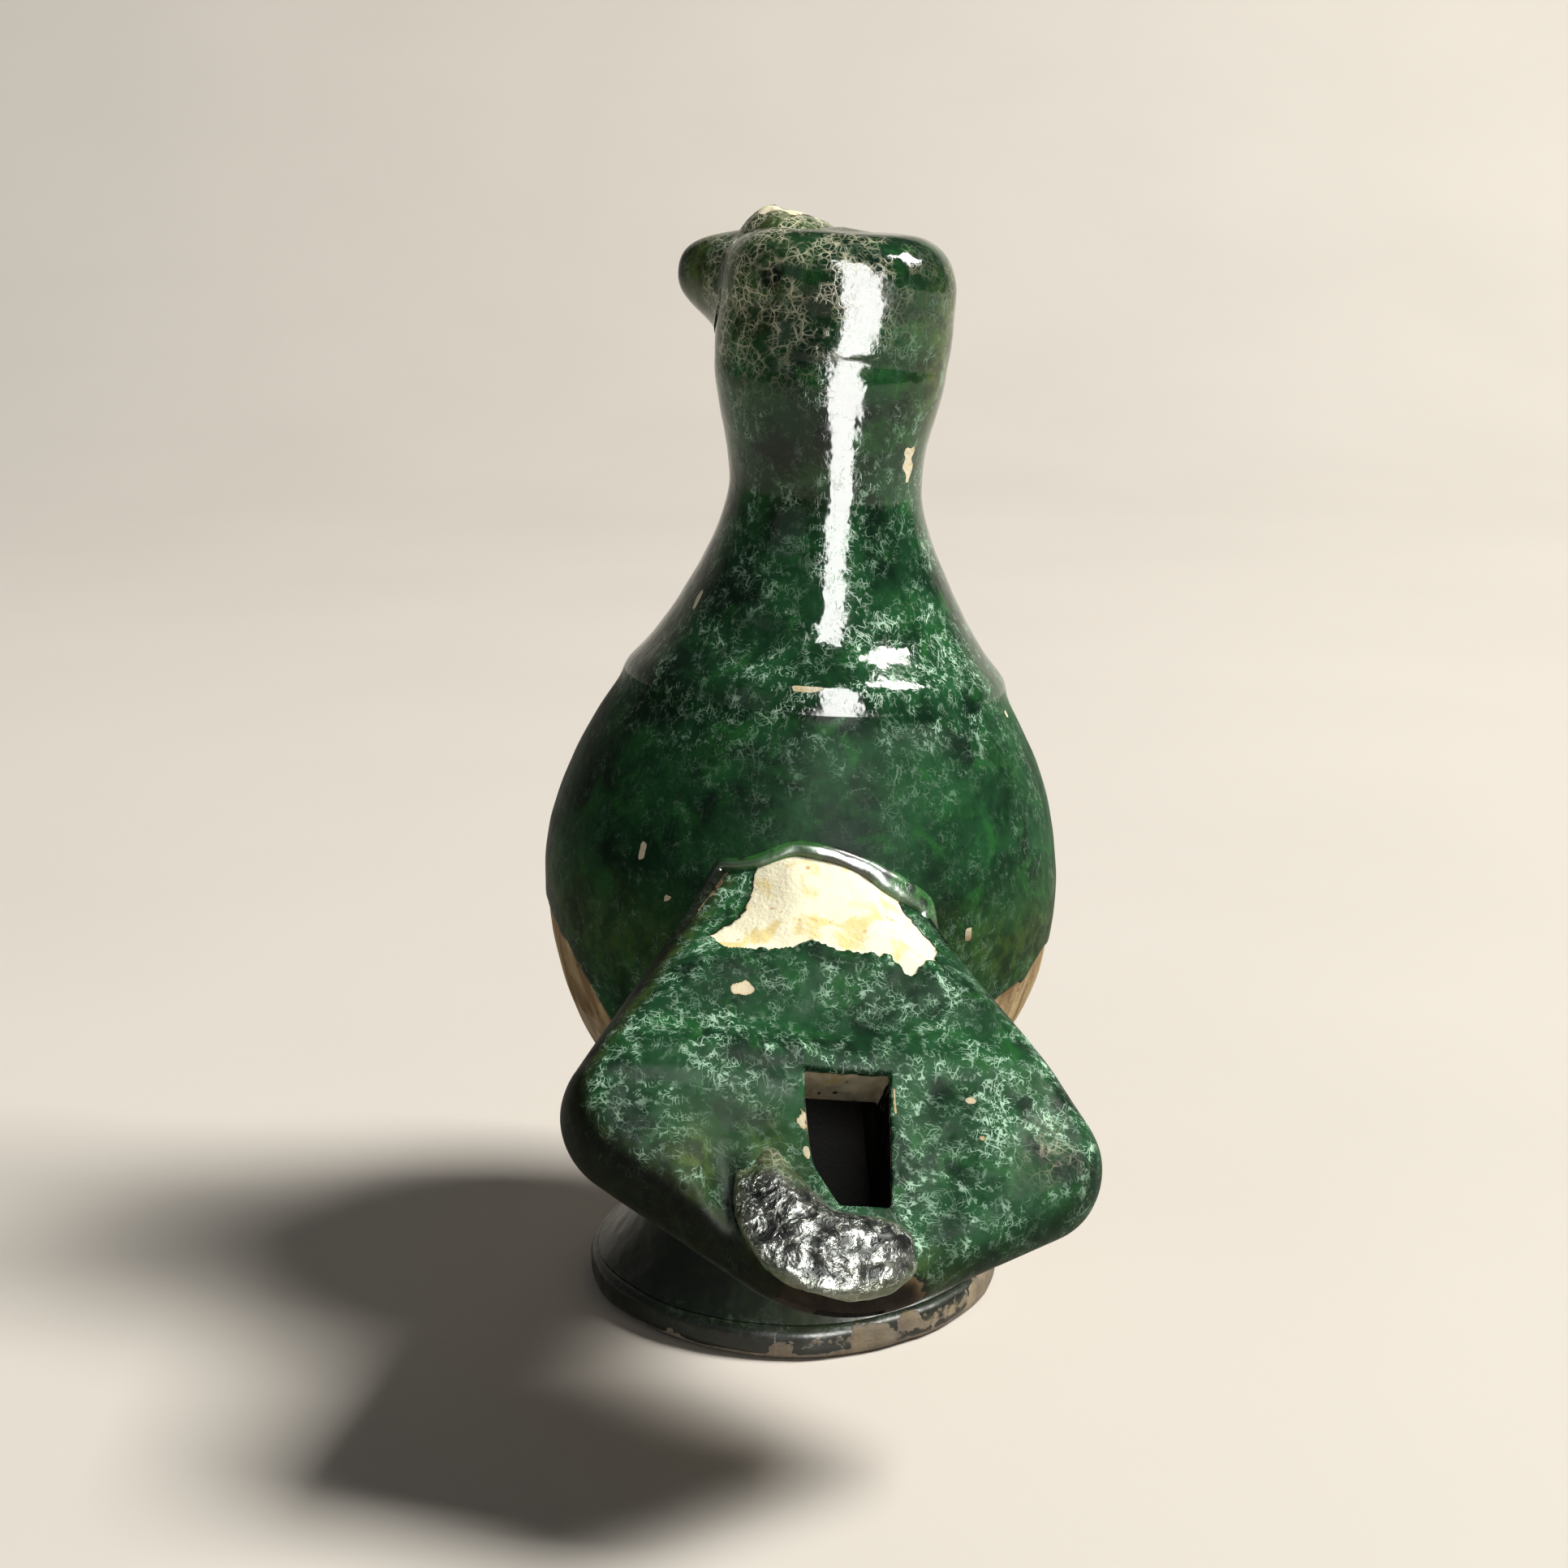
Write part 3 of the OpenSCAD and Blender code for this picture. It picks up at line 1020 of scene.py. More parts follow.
@dataclass
class Bands:
    """The lathe-like bands of the body, each a closed solid that shares its edges with its neighbours."""

    body: Body
    cols: int = 420
    foot_cols: int = 360
    neck_bore: float = 4.8
    throat: float = 5.0
    floor_t: float = 4.5
    coil_h: float = 4.0
    coil_swell: float = 0.9
    rim_h: float = 3.2
    edge: float = 0.7
    waist_r: float = 12.0

    def foot_r(self) -> float:
        """The foot's radius, from its CAD node."""
        low, high = box_mm("foot_disc")
        return float(high[0] - low[0]) / 2

    def cove(self, h: Array) -> Array:
        """Radius of the foot's cove: waist_r + (rim - waist_r) t^1.6, with t from the waist to the rim."""
        t = np.clip((self.body.waist_z - h) / (self.body.waist_z - self.rim_h), 0, 1)
        return self.waist_r + (self.foot_r() - self.edge - self.waist_r) * t**1.6

    def foot(self) -> bpy.types.Object:
        """The foot: a disc with a worn round rim, a cove above and the arcs of a cutting wire underneath.

        Returns:
            The finished piece.
        """
        b, r = self.body, self.foot_r()
        under = np.linspace(0, r - 1.4, 40)
        turn = np.linspace(-math.pi / 2, 0, 9)
        rim_r = np.concatenate([r - 1.2 + 1.2 * np.cos(turn), np.full(6, r),
                                r - 0.9 + 0.9 * np.cos(turn + math.pi / 2)])
        rim_z = np.concatenate([1.2 + 1.2 * np.sin(turn), np.linspace(1.3, self.rim_h - 1.0, 6),
                                self.rim_h - 0.9 + 0.9 * np.sin(turn + math.pi / 2)])
        cove_z = np.linspace(self.rim_h + 0.1, b.waist_z - self.coil_h / 2, 40)
        rr = np.concatenate([under, rim_r, self.cove(cove_z), [b.groove_r, b.groove_r, b.groove_r / 2, 0]])
        zz = np.concatenate([0 * under, rim_z, cove_z, [cove_z[-1], b.waist_z, b.waist_z, b.waist_z]])
        theta = angles(self.foot_cols)
        h, r_all = zz[:, None] + 0 * theta, rr[:, None] + 0 * theta
        plain = np.stack([r_all * np.cos(theta), r_all * np.sin(theta), h], -1)
        outer = (np.arange(len(rr)) >= len(under))[:, None] & (r_all > b.groove_r + 0.2)
        lumps = 0.3 * LUMPS.at(plain, 12) + 0.12 * LUMPS.at(plain, 4) + 0.04 * PEEL.at(plain, 1.4, 2)
        swell = np.where(outer, lumps - 0.3, 0)
        wire = 0.1 * np.sin(np.hypot(plain[..., 0] + 31, plain[..., 1] - 8) * 3.2)
        wire += 0.08 * PEEL.at(plain, 1.2, 2)
        inside = ease(r - 2.2, r - 3.6, r_all) * (h < 0.5)
        points = plain.copy()
        points[..., :2] *= ((r_all + swell) / np.maximum(r_all, 0.01))[..., None]
        points[..., 2] += inside * (0.3 + wire)
        piece = surface("glazed_foot", points, False)
        p = places(piece.data)
        away, turn_p = np.hypot(p[:, 0], p[:, 1]), np.arctan2(p[:, 1], p[:, 0])
        worn = 0.55 * bump(p[:, 2] - 1.8, 1.7) * (away > r - 2) * (0.55 + 0.45 * np.cos(turn_p + 0.7))
        glaze = ease(0.15, 0.9, p[:, 2]) - worn - 0.35 * bump(p[:, 2] - 1.5, 2) * (RAGGED.at(p, 2.4) > 0.42)
        # dark=0.75 is painted shade over the whole foot, which sits under the belly and the tail.
        paint = Paint.even(away.shape, glaze=glaze, threads=0.05 + 0.45 * bump(p[:, 2] - 2.8, 1.0), dark=0.75,
                           olive=0.2, fresh=0.1 * (p[:, 2] > 0.6), satin=0.5)
        finish_piece(piece, paint, Slot.THIN, "foot_disc")
        return piece

    def waist(self) -> bpy.types.Object:
        """The waist coil: its radius runs from the cove to the bowl and swells by a half sine.

        Returns:
            The finished piece.
        """
        b = self.body
        low, high = b.waist_z - self.coil_h / 2, b.waist_z + self.coil_h / 2
        t = np.linspace(0, 1, 26)[:, None]
        theta = angles(self.foot_cols)
        h = low + (high - low) * t + 0 * theta
        ends = self.cove(np.array(low)) * (1 - t) + b.radius(np.array(high)) * t
        thumbs = 0.16 * np.sin(theta * 19 + 1.3 * np.sin(3 * theta))
        r = ends + np.sin(math.pi * t) * (self.coil_swell + thumbs) - 0.1
        r = r + 0.1 * LUMPS.at(b.point(h, theta, r), 3.5)
        back = np.linspace(high, low, 6)[:, None] + 0 * theta
        points = np.concatenate([b.point(h, theta, r), b.point(back, theta, b.groove_r + 0 * back)])
        piece = surface("smoothed_waist", points, True)
        p = places(piece.data)
        side = np.arctan2(p[:, 1], p[:, 0])
        glaze = 0.35 + 0.5 * RAGGED.at(p, 4.5) + 0.15 * np.cos(side * 2)
        glaze -= 0.4 * ease(high - 1.5, high, p[:, 2])
        # dark=0.4 is painted shade on the waist, which sits under the belly.
        paint = Paint.even(side.shape, glaze=glaze, threads=0.3, dark=0.4)
        finish_piece(piece, paint, Slot.CLAY, "waist_coil")
        return piece

    def bowl(self) -> bpy.types.Object:
        """The belly's lower half: the body's skin outside, and a hollow with a round bottom inside.

        Returns:
            The finished piece.
        """
        b = self.body
        theta = angles(self.cols)
        low, bottom = b.waist_z + self.coil_h / 2, b.waist_z + self.floor_t
        h_out = np.linspace(low, b.seam_z, 46)[:, None]
        h_in = np.linspace(b.seam_z, bottom, 22)[:, None]
        round_in = np.sqrt(np.clip(1 - np.clip(1 - (h_in - bottom) / 5, 0, None) ** 2, 0, 1))
        inner = b.point(h_in, theta, (b.radius(h_in) - b.wall) * round_in)
        flat = b.point(np.full((3, 1), b.waist_z), theta, b.groove_r * np.linspace(0, 1, 3)[:, None])
        piece = surface("thrown_bowl", np.concatenate([flat, b.skin(h_out, theta), inner]), False)
        self.dress(piece, Slot.CLAY, "belly_bowl", b.wall - 1.2)
        return piece

    def dome(self, passage: bpy.types.Object) -> bpy.types.Object:
        """The belly's upper half: the body's skin outside, a plain wall inside, and the passage.

        Args:
            passage: the cutter for the passage.

        Returns:
            The finished piece.
        """
        b = self.body
        theta = angles(self.cols)
        h_out = np.linspace(b.seam_z, b.shoulder_z, 112)[:, None]
        h_in = np.linspace(b.shoulder_z, b.seam_z, 20)[:, None]
        inner = b.point(h_in, theta, b.radius(h_in) - b.wall)
        piece = surface("thrown_dome", np.concatenate([b.skin(h_out, theta), inner]), True)
        carve(piece, [passage])
        self.dress(piece, Slot.GREEN, "belly_dome", b.wall - 1.2, SATIN_GREEN)
        return piece

    def neck(self) -> bpy.types.Object:
        """The neck: the body's skin outside, and a flared throat that runs into a straight bore inside.

        Returns:
            The finished piece.
        """
        b = self.body
        theta = angles(self.cols)
        throat_z = b.neck_z - self.throat
        h_out = np.linspace(b.shoulder_z, b.head_z, 118)[:, None]
        h_in = np.linspace(b.head_z, b.shoulder_z, 26)[:, None]
        t = np.clip((throat_z - h_in) / (throat_z - b.shoulder_z), 0, 1)
        inner = b.point(h_in, theta, self.neck_bore + (b.shoulder_r - b.wall - self.neck_bore) * t**1.6)
        piece = surface("pulled_neck", np.concatenate([b.skin(h_out, theta), inner]), True)
        self.dress(piece, Slot.GREEN, "neck_tube", 1.6)
        return piece

    def dress(self, piece: bpy.types.Object, slot: Slot, node: str, depth: float,
              finish: Finish | None = None) -> None:
        """Coats a band by each vertex's height and angle; what lies deeper than depth is bare and painted
        dark as the hollow's shade.

        Args:
            piece: the band.
            slot: its finish.
            node: the CAD node that it stands for.
            depth: how far under the skin the clay starts to be the inside.
            finish: another finish than the slot's usual one.
        """
        b = self.body
        h, theta, away = spine_place(b, places(piece.data))
        paint = b.paint(h, theta)
        r = b.radius(h)
        # Painted shade: the inside of the hollow body is bare and painted dark.
        inside = ease(0.35, depth, r + b.stand(h, theta, r) - away)
        paint.glaze = paint.glaze * (1 - inside)
        paint.dark = np.maximum(paint.dark, inside)
        finish_piece(piece, paint, slot, node, finish=finish)


def spine_place(b: Body, p: Array) -> tuple[Array, Array, Array]:
    """The body's coordinates of points, found by undoing the lean a few times over.

    Args:
        b: the body.
        p: points in millimetres.

    Returns:
        Heights along the spine, angles from +X, and distances from the spine.
    """
    h = p[:, 2].copy()
    for _ in range(4):
        on_spine = b.point(h, np.zeros(len(h)), np.zeros(len(h)))
        u = np.clip((h - b.lean_z + b.lean_ease) / (2 * b.lean_ease), 0, 1)
        tilt = b.lean * (3 * u**2 - 2 * u**3)
        off = p - on_spine
        h = h + off[:, 2] * np.cos(tilt) + off[:, 0] * np.sin(tilt)
    off = p - b.point(h, np.zeros(len(h)), np.zeros(len(h)))
    across = off[:, 0] * np.cos(tilt) - off[:, 2] * np.sin(tilt)
    return h, np.arctan2(off[:, 1], across), np.hypot(across, off[:, 1])


# ---------------------------------------------------------------- the head


@dataclass
class Head:
    """The head's lump, with its beak and its crest."""

    body: Body
    crown_z: float = 99.7
    radius: float = 10.6
    edge: float = 4.6
    narrow: float = 0.92
    tenon_r: float = 4.8
    tenon_h: float = 5.0
    cols: int = 360
    eye_turn: float = math.radians(74)
    eye_h: float = 95.8
    eye_depth: float = 0.5
    beak_h: float = 94.9
    beak_wide: float = 1.9
    beak_tall: float = 2.2
    beak_reach: float = 4.7
    crest_rise: float = 1.55

    def squeeze(self, theta: Array, h: Array) -> Array:
        """Share of the radius left by the head's narrow sides: 1 / sqrt((across / narrow)^2 + along^2).

        Args:
            theta: angles from +X.
            h: heights along the spine.

        Returns:
            The shares.
        """
        along, across = np.cos(theta - self.body.head_turn), np.sin(theta - self.body.head_turn)
        oval = 1 / np.sqrt((across / self.narrow) ** 2 + along**2)
        return 1 + (oval - 1) * ease(self.body.head_z, self.body.head_z + 5, h)

    def lump(self, s: Array, theta: Array) -> tuple[Array, Array]:
        """Height and radius along the profile.

        Args:
            s: from 0 to 1 up the side, 1 to 2 round the edge and 2 to 3 over the crown.
            theta: angles from +X.

        Returns:
            Heights along the spine, and radii.
        """
        b = self.body
        side_top = self.crown_z - self.edge
        up, round_, over = np.clip(s, 0, 1), np.clip(s - 1, 0, 1) * math.pi / 2, np.clip(s - 2, 0, 1)
        h = b.head_z + (side_top - b.head_z) * up + self.edge * np.sin(round_)
        flat_r = self.radius - self.edge
        r = b.nape_r + (self.radius - b.nape_r) * up - self.edge * (1 - np.cos(round_)) - flat_r * over
        h = h + 0.35 * bump(over - 1, 0.6) * over - 0.25 * over * (1 - over)
        return h + 0 * theta, r * self.squeeze(theta, h)

    def from_eye(self, side: int, h: Array, theta: Array, r: Array) -> Array:
        """Distance along the surface from the eye on one side, -1 or 1 from the beak."""
        off = wrapped(theta - self.body.head_turn - side * self.eye_turn) * r
        return np.hypot(off, h - self.eye_h)

    def skin(self, s: Array, theta: Array) -> Array:
        """The head's finished outside: its lump, the body's relief, and two pressed eyes.

        Args:
            s: places along the profile, as for lump.
            theta: angles from +X.

        Returns:
            The points.
        """
        b = self.body
        h, r = self.lump(s, theta)
        stand = b.stand(h, theta, r)
        for side in (-1, 1):
            stand = stand - self.eye_depth * ease(1.5, 0.4, self.from_eye(side, h, theta, r))
        stand = stand * ease(0.0, 4.0, r)
        points = b.point(h, theta, r + stand)
        points[..., 2] += 0.18 * LUMPS.at(points, 6) * ease(1.5, 2.2, s + 0 * theta)
        return points

    def build(self) -> bpy.types.Object:
        """The head: its skin from the crown's pole down to the nape, and the tenon that plugs the neck.

        Returns:
            The finished piece.
        """
        b = self.body
        theta = angles(self.cols)
        s = np.concatenate([np.linspace(3, 2, 22)[:-1], np.linspace(2, 1, 30)[:-1], np.linspace(1, 0, 28)])
        s = s[:, None]
        tenon_z = b.head_z - np.array([0, self.tenon_h, self.tenon_h])[:, None]
        tenon = b.point(tenon_z, theta, np.array([self.tenon_r, self.tenon_r, 0.0])[:, None])
        piece = surface("rounded_head", np.concatenate([self.skin(s, theta), tenon]), False)
        p = places(piece.data)
        h, turn, away = spine_place(b, p)
        paint = b.paint(h, turn)
        crown = ease(98.6, 99.6, h)
        paint.dark = np.clip(paint.dark + 0.5 * crown, 0, 0.9)
        outside = ease(self.tenon_r + 0.5, self.tenon_r + 2, away) + (h > b.head_z + 0.3)
        paint.glaze = np.minimum(paint.glaze, outside)
        # The pressed eyes are darkened: dark pooled glaze, and painted shade in the pits.
        for side in (-1, 1):
            pit = ease(1.4, 0.8, self.from_eye(side, h, turn, away))
            paint.dark = np.maximum(paint.dark, 0.85 * pit)
        finish_piece(piece, paint, Slot.GREEN, "head")
        return piece

    def beak(self) -> bpy.types.Object:
        """The beak: a tube over a patch of the head that flares out of it and closes in a round tip.

        Its half width shrinks from the rim to the tip as tip + flare (1 - t)^1.8 and its half height as tip +
        flare (1 - t)^1.2, both times sqrt(1 - t^5). It stands off the head by reach sin^1.7(t pi / 2) and
        rises by 1.2 t - 0.6 t^4, so the tip droops. Behind the patch it closes inside the head.

        Returns:
            The finished piece.
        """
        b = self.body
        t = np.linspace(0, 1, 60)[:, None]
        phi = angles(160)
        taper = np.sqrt(np.clip(1 - t**5, 0, 1))
        wide = (self.beak_wide + 4.0 * (1 - t) ** 1.8) * taper
        tall = (self.beak_tall + (2.6 + 0.9 * (np.sin(phi) < 0)) * (1 - t) ** 1.2) * taper
        h = self.beak_h + tall * np.sin(phi)
        over = np.clip(h - (self.crown_z - self.edge), 0, self.edge - 0.05) / self.edge
        side_r = self.radius - self.edge * (1 - np.sqrt(np.clip(1 - over**2, 0, 1)))
        theta = b.head_turn + wide * np.cos(phi) / self.radius
        base_r = side_r * self.squeeze(theta, h)
        base = b.point(h, theta, base_r + b.stand(h, theta, base_r) - 0.05 * (1 - t) ** 2)
        out = np.array([math.cos(b.head_turn), math.sin(b.head_turn), 0.0])
        reach = self.beak_reach * np.sin(t * math.pi / 2) ** 1.7
        points = base + reach[..., None] * out
        points[..., 2] += 1.2 * t - 0.6 * t**4
        points += 0.12 * LUMPS.at(points, 2.6)[..., None] * out
        heart = b.point(np.array([[93.5]]), phi, np.full((1, 1), 2.0))
        root = 0.25 * points[:1] + 0.75 * heart + np.array([-1.5, 0.8, 0])
        half_way = 0.5 * root + 0.5 * points[:1]
        piece = surface("pinched_beak", np.concatenate([root, half_way, points]), False)
        p = places(piece.data)
        forward = (p - b.point(np.array(95.0), np.array(0.0), np.array(0.0))) @ out
        paint = Paint.even(forward.shape, glaze=1.0, threads=0.25, olive=0.75 * ease(9, 13, forward),
                           dark=0.55 * ease(12.5, 15.5, forward), net=0.8 * ease(14, 9.5, forward))
        finish_piece(piece, paint, Slot.THIN, "beak")
        return piece

    def crest(self) -> bpy.types.Object:
        """The crest: a long pinched mound on the crown that rises by crest_rise (1 - rho^3.4)^0.9.

        Returns:
            The finished piece.
        """
        b = self.body
        rho = np.linspace(1, 0, 40)[:, None]
        phi = angles(150)
        along = 6.0 + 5.2 * rho * np.cos(phi)
        across = 4.3 * rho * np.sin(phi) * (1 - 0.2 * np.cos(phi))
        along = np.minimum(along, 10.5)
        out = np.hypot(along, across / self.narrow)
        edge_in = np.clip(out - (self.radius - self.edge), 0, self.edge - 0.02)
        h = self.crown_z - self.edge + np.sqrt(self.edge**2 - edge_in**2)
        theta = b.head_turn + np.arctan2(across, along)
        base = b.point(h, theta, np.hypot(along, across))
        base[..., 2] += 0.18 * LUMPS.at(base, 6) - 0.1
        mound = self.crest_rise * np.clip(1 - rho**3.4, 0, 1) ** 0.9 * (1 + 0.3 * np.cos(phi) * rho)
        base[..., 2] += mound * (1 + 0.22 * LUMPS.at(base, 1.8) + 0.1 * PEEL.at(base, 0.8))
        under = base[:1] - np.array([0, 0, 1.2])
        middle = under.mean(1, keepdims=True)
        small = middle + 0.3 * (under - middle)
        piece = surface("pinched_crest", np.concatenate([small, under, base]), False)
        p = places(piece.data)
        top = ease(self.crown_z + 0.5, self.crown_z + 1.5, p[:, 2])
        glaze = 1.0 - 0.62 * top * (RAGGED.at(p, 1.3) > -0.05)
        paint = Paint.even(top.shape, glaze=glaze, threads=0.6, net=1.0, fresh=0.85, olive=0.5)
        finish_piece(piece, paint, Slot.WORN, "crest")
        return piece


# ---------------------------------------------------------------- the tail


# Thread density spots; the strong one on the right lobe is also a painted highlight.
TAIL_THREADS_AND_SHEEN = (
    Spot(0.1, -14.5, -3, 4.5, 4),
    Spot(0.8, 15.5, -5, 4.0, 4.5),
    Spot(0.3, 9, -13, 4, 3),
    Spot(-0.4, -6.3, -0.5, 3.5, 0.8),
    Spot(-0.3, 7, -7, 2.5, 4),
    Spot(-0.55, -7, -5.5, 4, 3),
    Spot(-0.5, -11.5, -9, 2.5, 3.5),
    Spot(-0.35, 0, 5, 7, 3),
)
TAIL_OLIVE = (Spot(0.85, -12, -9.5, 2.0, 3.0), Spot(0.5, -5.8, -9, 2, 2), Spot(0.2, -6.5, -6, 2.6, 2.6))
# Painted shade: the hollow left of the bridge, the valley on the right lobe and a strip beside the ridge.
TAIL_PAINTED_SHADE = (Spot(0.9, -9.1, -11.5, 1.5, 3.4), Spot(0.4, 16.5, -8, 2.2, 2.2), Spot(0.6, -6.3, -0.6, 3.6, 0.7))
TAIL_CHIPS = (
    Spot(1, -7.6, 6.6, 0.9, 0.7),
    Spot(1, 10.2, -3.2, 0.4, 0.3),
    Spot(1, 10.8, -6.4, 0.2, 0.2),
    Spot(1, -3.4, -5.3, 0.35, 0.9),
    Spot(1, -3.3, -8.2, 0.3, 0.6),
    Spot(1, 4.1, -3.0, 0.15, 1.4),
)
TAIL_PILLOWS = (
    Spot(0.7, -13.5, -3.5, 5.5, 5),
    Spot(0.7, 13.8, -5, 5.5, 5),
    Spot(-0.7, 8.2, -9, 2.4, 5),
    Spot(-0.3, -9, -5.5, 3, 2.5),
)
BRIDGE_KNOTS = ((-5.6, -7.4), (-5.9, -10.7), (-4.6, -14.3), (-1.1, -16.2), (2.2, -15.6), (4.3, -14.5))


@dataclass
class Tail:
    """The kite-shaped tail that is the mouthpiece.

    Its own frame has x to the right, y up to the root and z out of its top.
    """

    body: Body
    place: tuple[float, float, float] = (0.8, -40.0, 36.6)
    slope: float = math.radians(38)
    roll: float = math.radians(9)
    lobe_w: float = 21.7
    lobe_r: float = 6.4
    lobe_y: float = -5.0
    lobe_skew: float = 2.6
    lobe_edge: float = 2.9
    tip_l: float = 19.4
    tip_r: float = 13.0
    root_y: float = 19.0
    root_r: float = 8.2
    thick: float = 12.0
    roof_t: float = 4.3
    root_depth: float = 19.2
    keel_w: float = 9.2
    window: tuple[float, float] = (0.4, -0.9)
    window_w: float = 7.0
    window_l: float = 11.6
    taper: float = 0.8
    windway_h: float = 1.7
    passage_h: float = 4.8
    bead_spread: float = 1.35
    cols: int = 640

    def axes(self) -> Array:
        """The frame's three axes as columns: a turn about x by the slope after a turn about y by the roll.

        Returns:
            A 3 x 3 matrix.
        """
        cs, ss, cr, sr = math.cos(self.slope), math.sin(self.slope), math.cos(self.roll), math.sin(self.roll)
        slope = np.array([[1, 0, 0], [0, cs, -ss], [0, ss, cs]])
        roll = np.array([[cr, 0, sr], [0, 1, 0], [-sr, 0, cr]])
        return slope @ roll

    def to_world(self, p: Array) -> Array:
        """Points of the tail's frame as points of the whistle's."""
        return p @ self.axes().T + np.array(self.place)

    def to_tail(self, p: Array) -> Array:
        """Points of the whistle's frame as points of the tail's."""
        return (p - np.array(self.place)) @ self.axes()

    def pole(self) -> Array:
        """The middle of the window, about which the slabs are laid out."""
        return np.array([self.window[0] + 0.1, self.window[1] - self.window_l / 2 + 0.2])

    def support(self) -> tuple[Array, Array]:
        """The outline as a hull of four circles: each direction's farthest centre . direction + radius.

        Returns:
            The directions, and the outline's reach along each.
        """
        psi = np.linspace(0, TAU, 360, endpoint=False)
        way = np.stack([np.cos(psi), np.sin(psi)], -1)
        lobe_x = self.lobe_w - self.lobe_r
        skew = self.lobe_skew / 2
        centres = np.array([[-lobe_x, self.lobe_y + skew], [lobe_x, self.lobe_y - skew],
                            [0, self.tip_r - self.tip_l], [0, self.root_y]])
        radii = np.array([self.lobe_r, self.lobe_r, self.tip_r, self.root_r])
        return way, (way @ centres.T + radii).max(1)

    def inset(self, xy: Array) -> Array:
        """Distance from the outline: the least, over all directions, of its reach less the point's.

        Args:
            xy: places in the tail's frame, with x, y last.

        Returns:
            The distances in millimetres.
        """
        way, far = self.support()
        flat = xy.reshape(-1, 2)
        parts = np.array_split(flat, max(1, len(flat) // 20000))
        return np.concatenate([(far - part @ way.T).min(1) for part in parts]).reshape(xy.shape[:-1])

    def edge_reach(self, phi: Array) -> Array:
        """Distance from the pole to the outline along each angle: the least of reach / cosine.

        Args:
            phi: angles about the pole.

        Returns:
            The distances in millimetres.
        """
        way, far = self.support()
        ray = np.stack([np.cos(phi), np.sin(phi)], -1)
        facing = ray @ way.T
        near = far - way @ self.pole()
        return np.where(facing > 0.02, near / np.maximum(facing, 0.02), 1e9).min(1)

    def window_reach(self, phi: Array) -> Array:
        """Distance from the pole to the window's edge along each angle, with slightly rounded corners.

        Each side is a straight line; the power sum (sum of reach^-30)^(-1/30) rounds where two meet.

        Args:
            phi: angles about the pole.

        Returns:
            The distances in millimetres.
        """
        w, l = self.window_w, self.window_l
        corners = np.array([[-w / 2, 0], [-w / 2 + self.taper / 3, -l * 0.7], [-w / 5, -l],
                            [w / 2 - self.taper, -l], [w / 2, 0]]) + np.array(self.window)
        sides = np.roll(corners, -1, 0) - corners
        normals = np.stack([sides[:, 1], -sides[:, 0]], -1) / np.linalg.norm(sides, axis=1)[:, None]
        gap = ((corners - self.pole()) * normals).sum(1)
        ray = np.stack([np.cos(phi), np.sin(phi)], -1)
        facing = ray @ normals.T * np.sign(gap)
        reach = np.where(facing > 0.01, np.abs(gap) / np.maximum(facing, 0.01), 1e6)
        return (reach**-30.0).sum(1) ** (-1 / 30.0)

    def chip(self, x: Array, y: Array) -> Array:
        """1 inside the flake lost from the tail's root: above a ragged line across the tail.

        Args:
            x: places across the tail.
            y: places along the tail.

        Returns:
            The share of the coat that is lost.
        """
        p = np.stack([x, y, 0 * x], -1)
        low = 10.7 - 0.9 * bump(x - 6.6, 1.6) + 0.6 * bump(x + 1, 3)
        low = low + 0.55 * RAGGED.at(p, 1.7, 3) + 0.3 * PEEL.at(p, 0.7)
        low = low + 3.5 * ease(8.3, 11, np.abs(x - 0.2) + 0.3 * RAGGED.at(p, 2))
        return ease(-0.12, 0.12, y - low)

    def soft(self, x: Array, y: Array) -> Array:
        """The top's soft relief: two low ridges, pillowed lobes, hollows by the bridge and a sunk waist.

        Args:
            x: places across the tail.
            y: places along the tail.

        Returns:
            The heights in millimetres.
        """
        z = 0.75 * bump(y - 0.5, 1.9) * ease(21, 14, np.abs(x))
        z += 0.35 * bump(y + 2.5 + 0.05 * x, 0.9) * ease(-2.2, -4.5, x)
        z -= 1.5 * bump(np.hypot((x + 9.3 + 0.25 * (y + 12)) / 1.7, (y + 12) / 3.6), 1)
        z -= 0.4 * bump(y - 7.5, 5)
        z += summed(TAIL_PILLOWS, x, y)
        return z

    def top(self, x: Array, y: Array, rough: bool = True) -> Array:
        """Height of the tail's top: the parting, plus the roof's thickness times a rounded edge, plus relief.

        The edge is (1 - (1 - q)^p)^(1/p) of the inset q, measured in edge widths: lobe_edge at the lobes and
        the whole half width at the root, where the tail is round.

        Args:
            x: places across the tail.
            y: places along the tail.
            rough: whether the lumps and the lost flake are put on.

        Returns:
            The heights in the tail's frame.
        """
        inset = np.clip(self.inset(np.stack([x, y], -1)), 0, None)
        root = ease(2, 17, y)
        width = self.lobe_edge + (self.root_r - self.lobe_edge) * root
        power = 2.1 - 0.5 * root
        q = np.clip(inset / width, 0, 1)
        edge = (1 - (1 - q) ** power) ** (1 / power)
        fall = 0.45 * ease(-1.5, -8, x) + 0.25 * ease(4, 9, x) + 0.2
        height = self.roof_t * edge + self.soft(x, y) * edge * (1 - 0.8 * root)
        z = -self.roof_t + height * (1 - fall * ease(8, 17, y))
        if rough:
            p = np.stack([x, y, z], -1)
            z = z + edge * (0.2 * LUMPS.at(p, 5) + 0.09 * LUMPS.at(p, 2.1) + 0.03 * PEEL.at(p, 0.9, 2))
            flake = self.chip(x, y)
            z = z - flake * (0.42 + 0.1 * LUMPS.at(p, 2.6, 2))
        return z

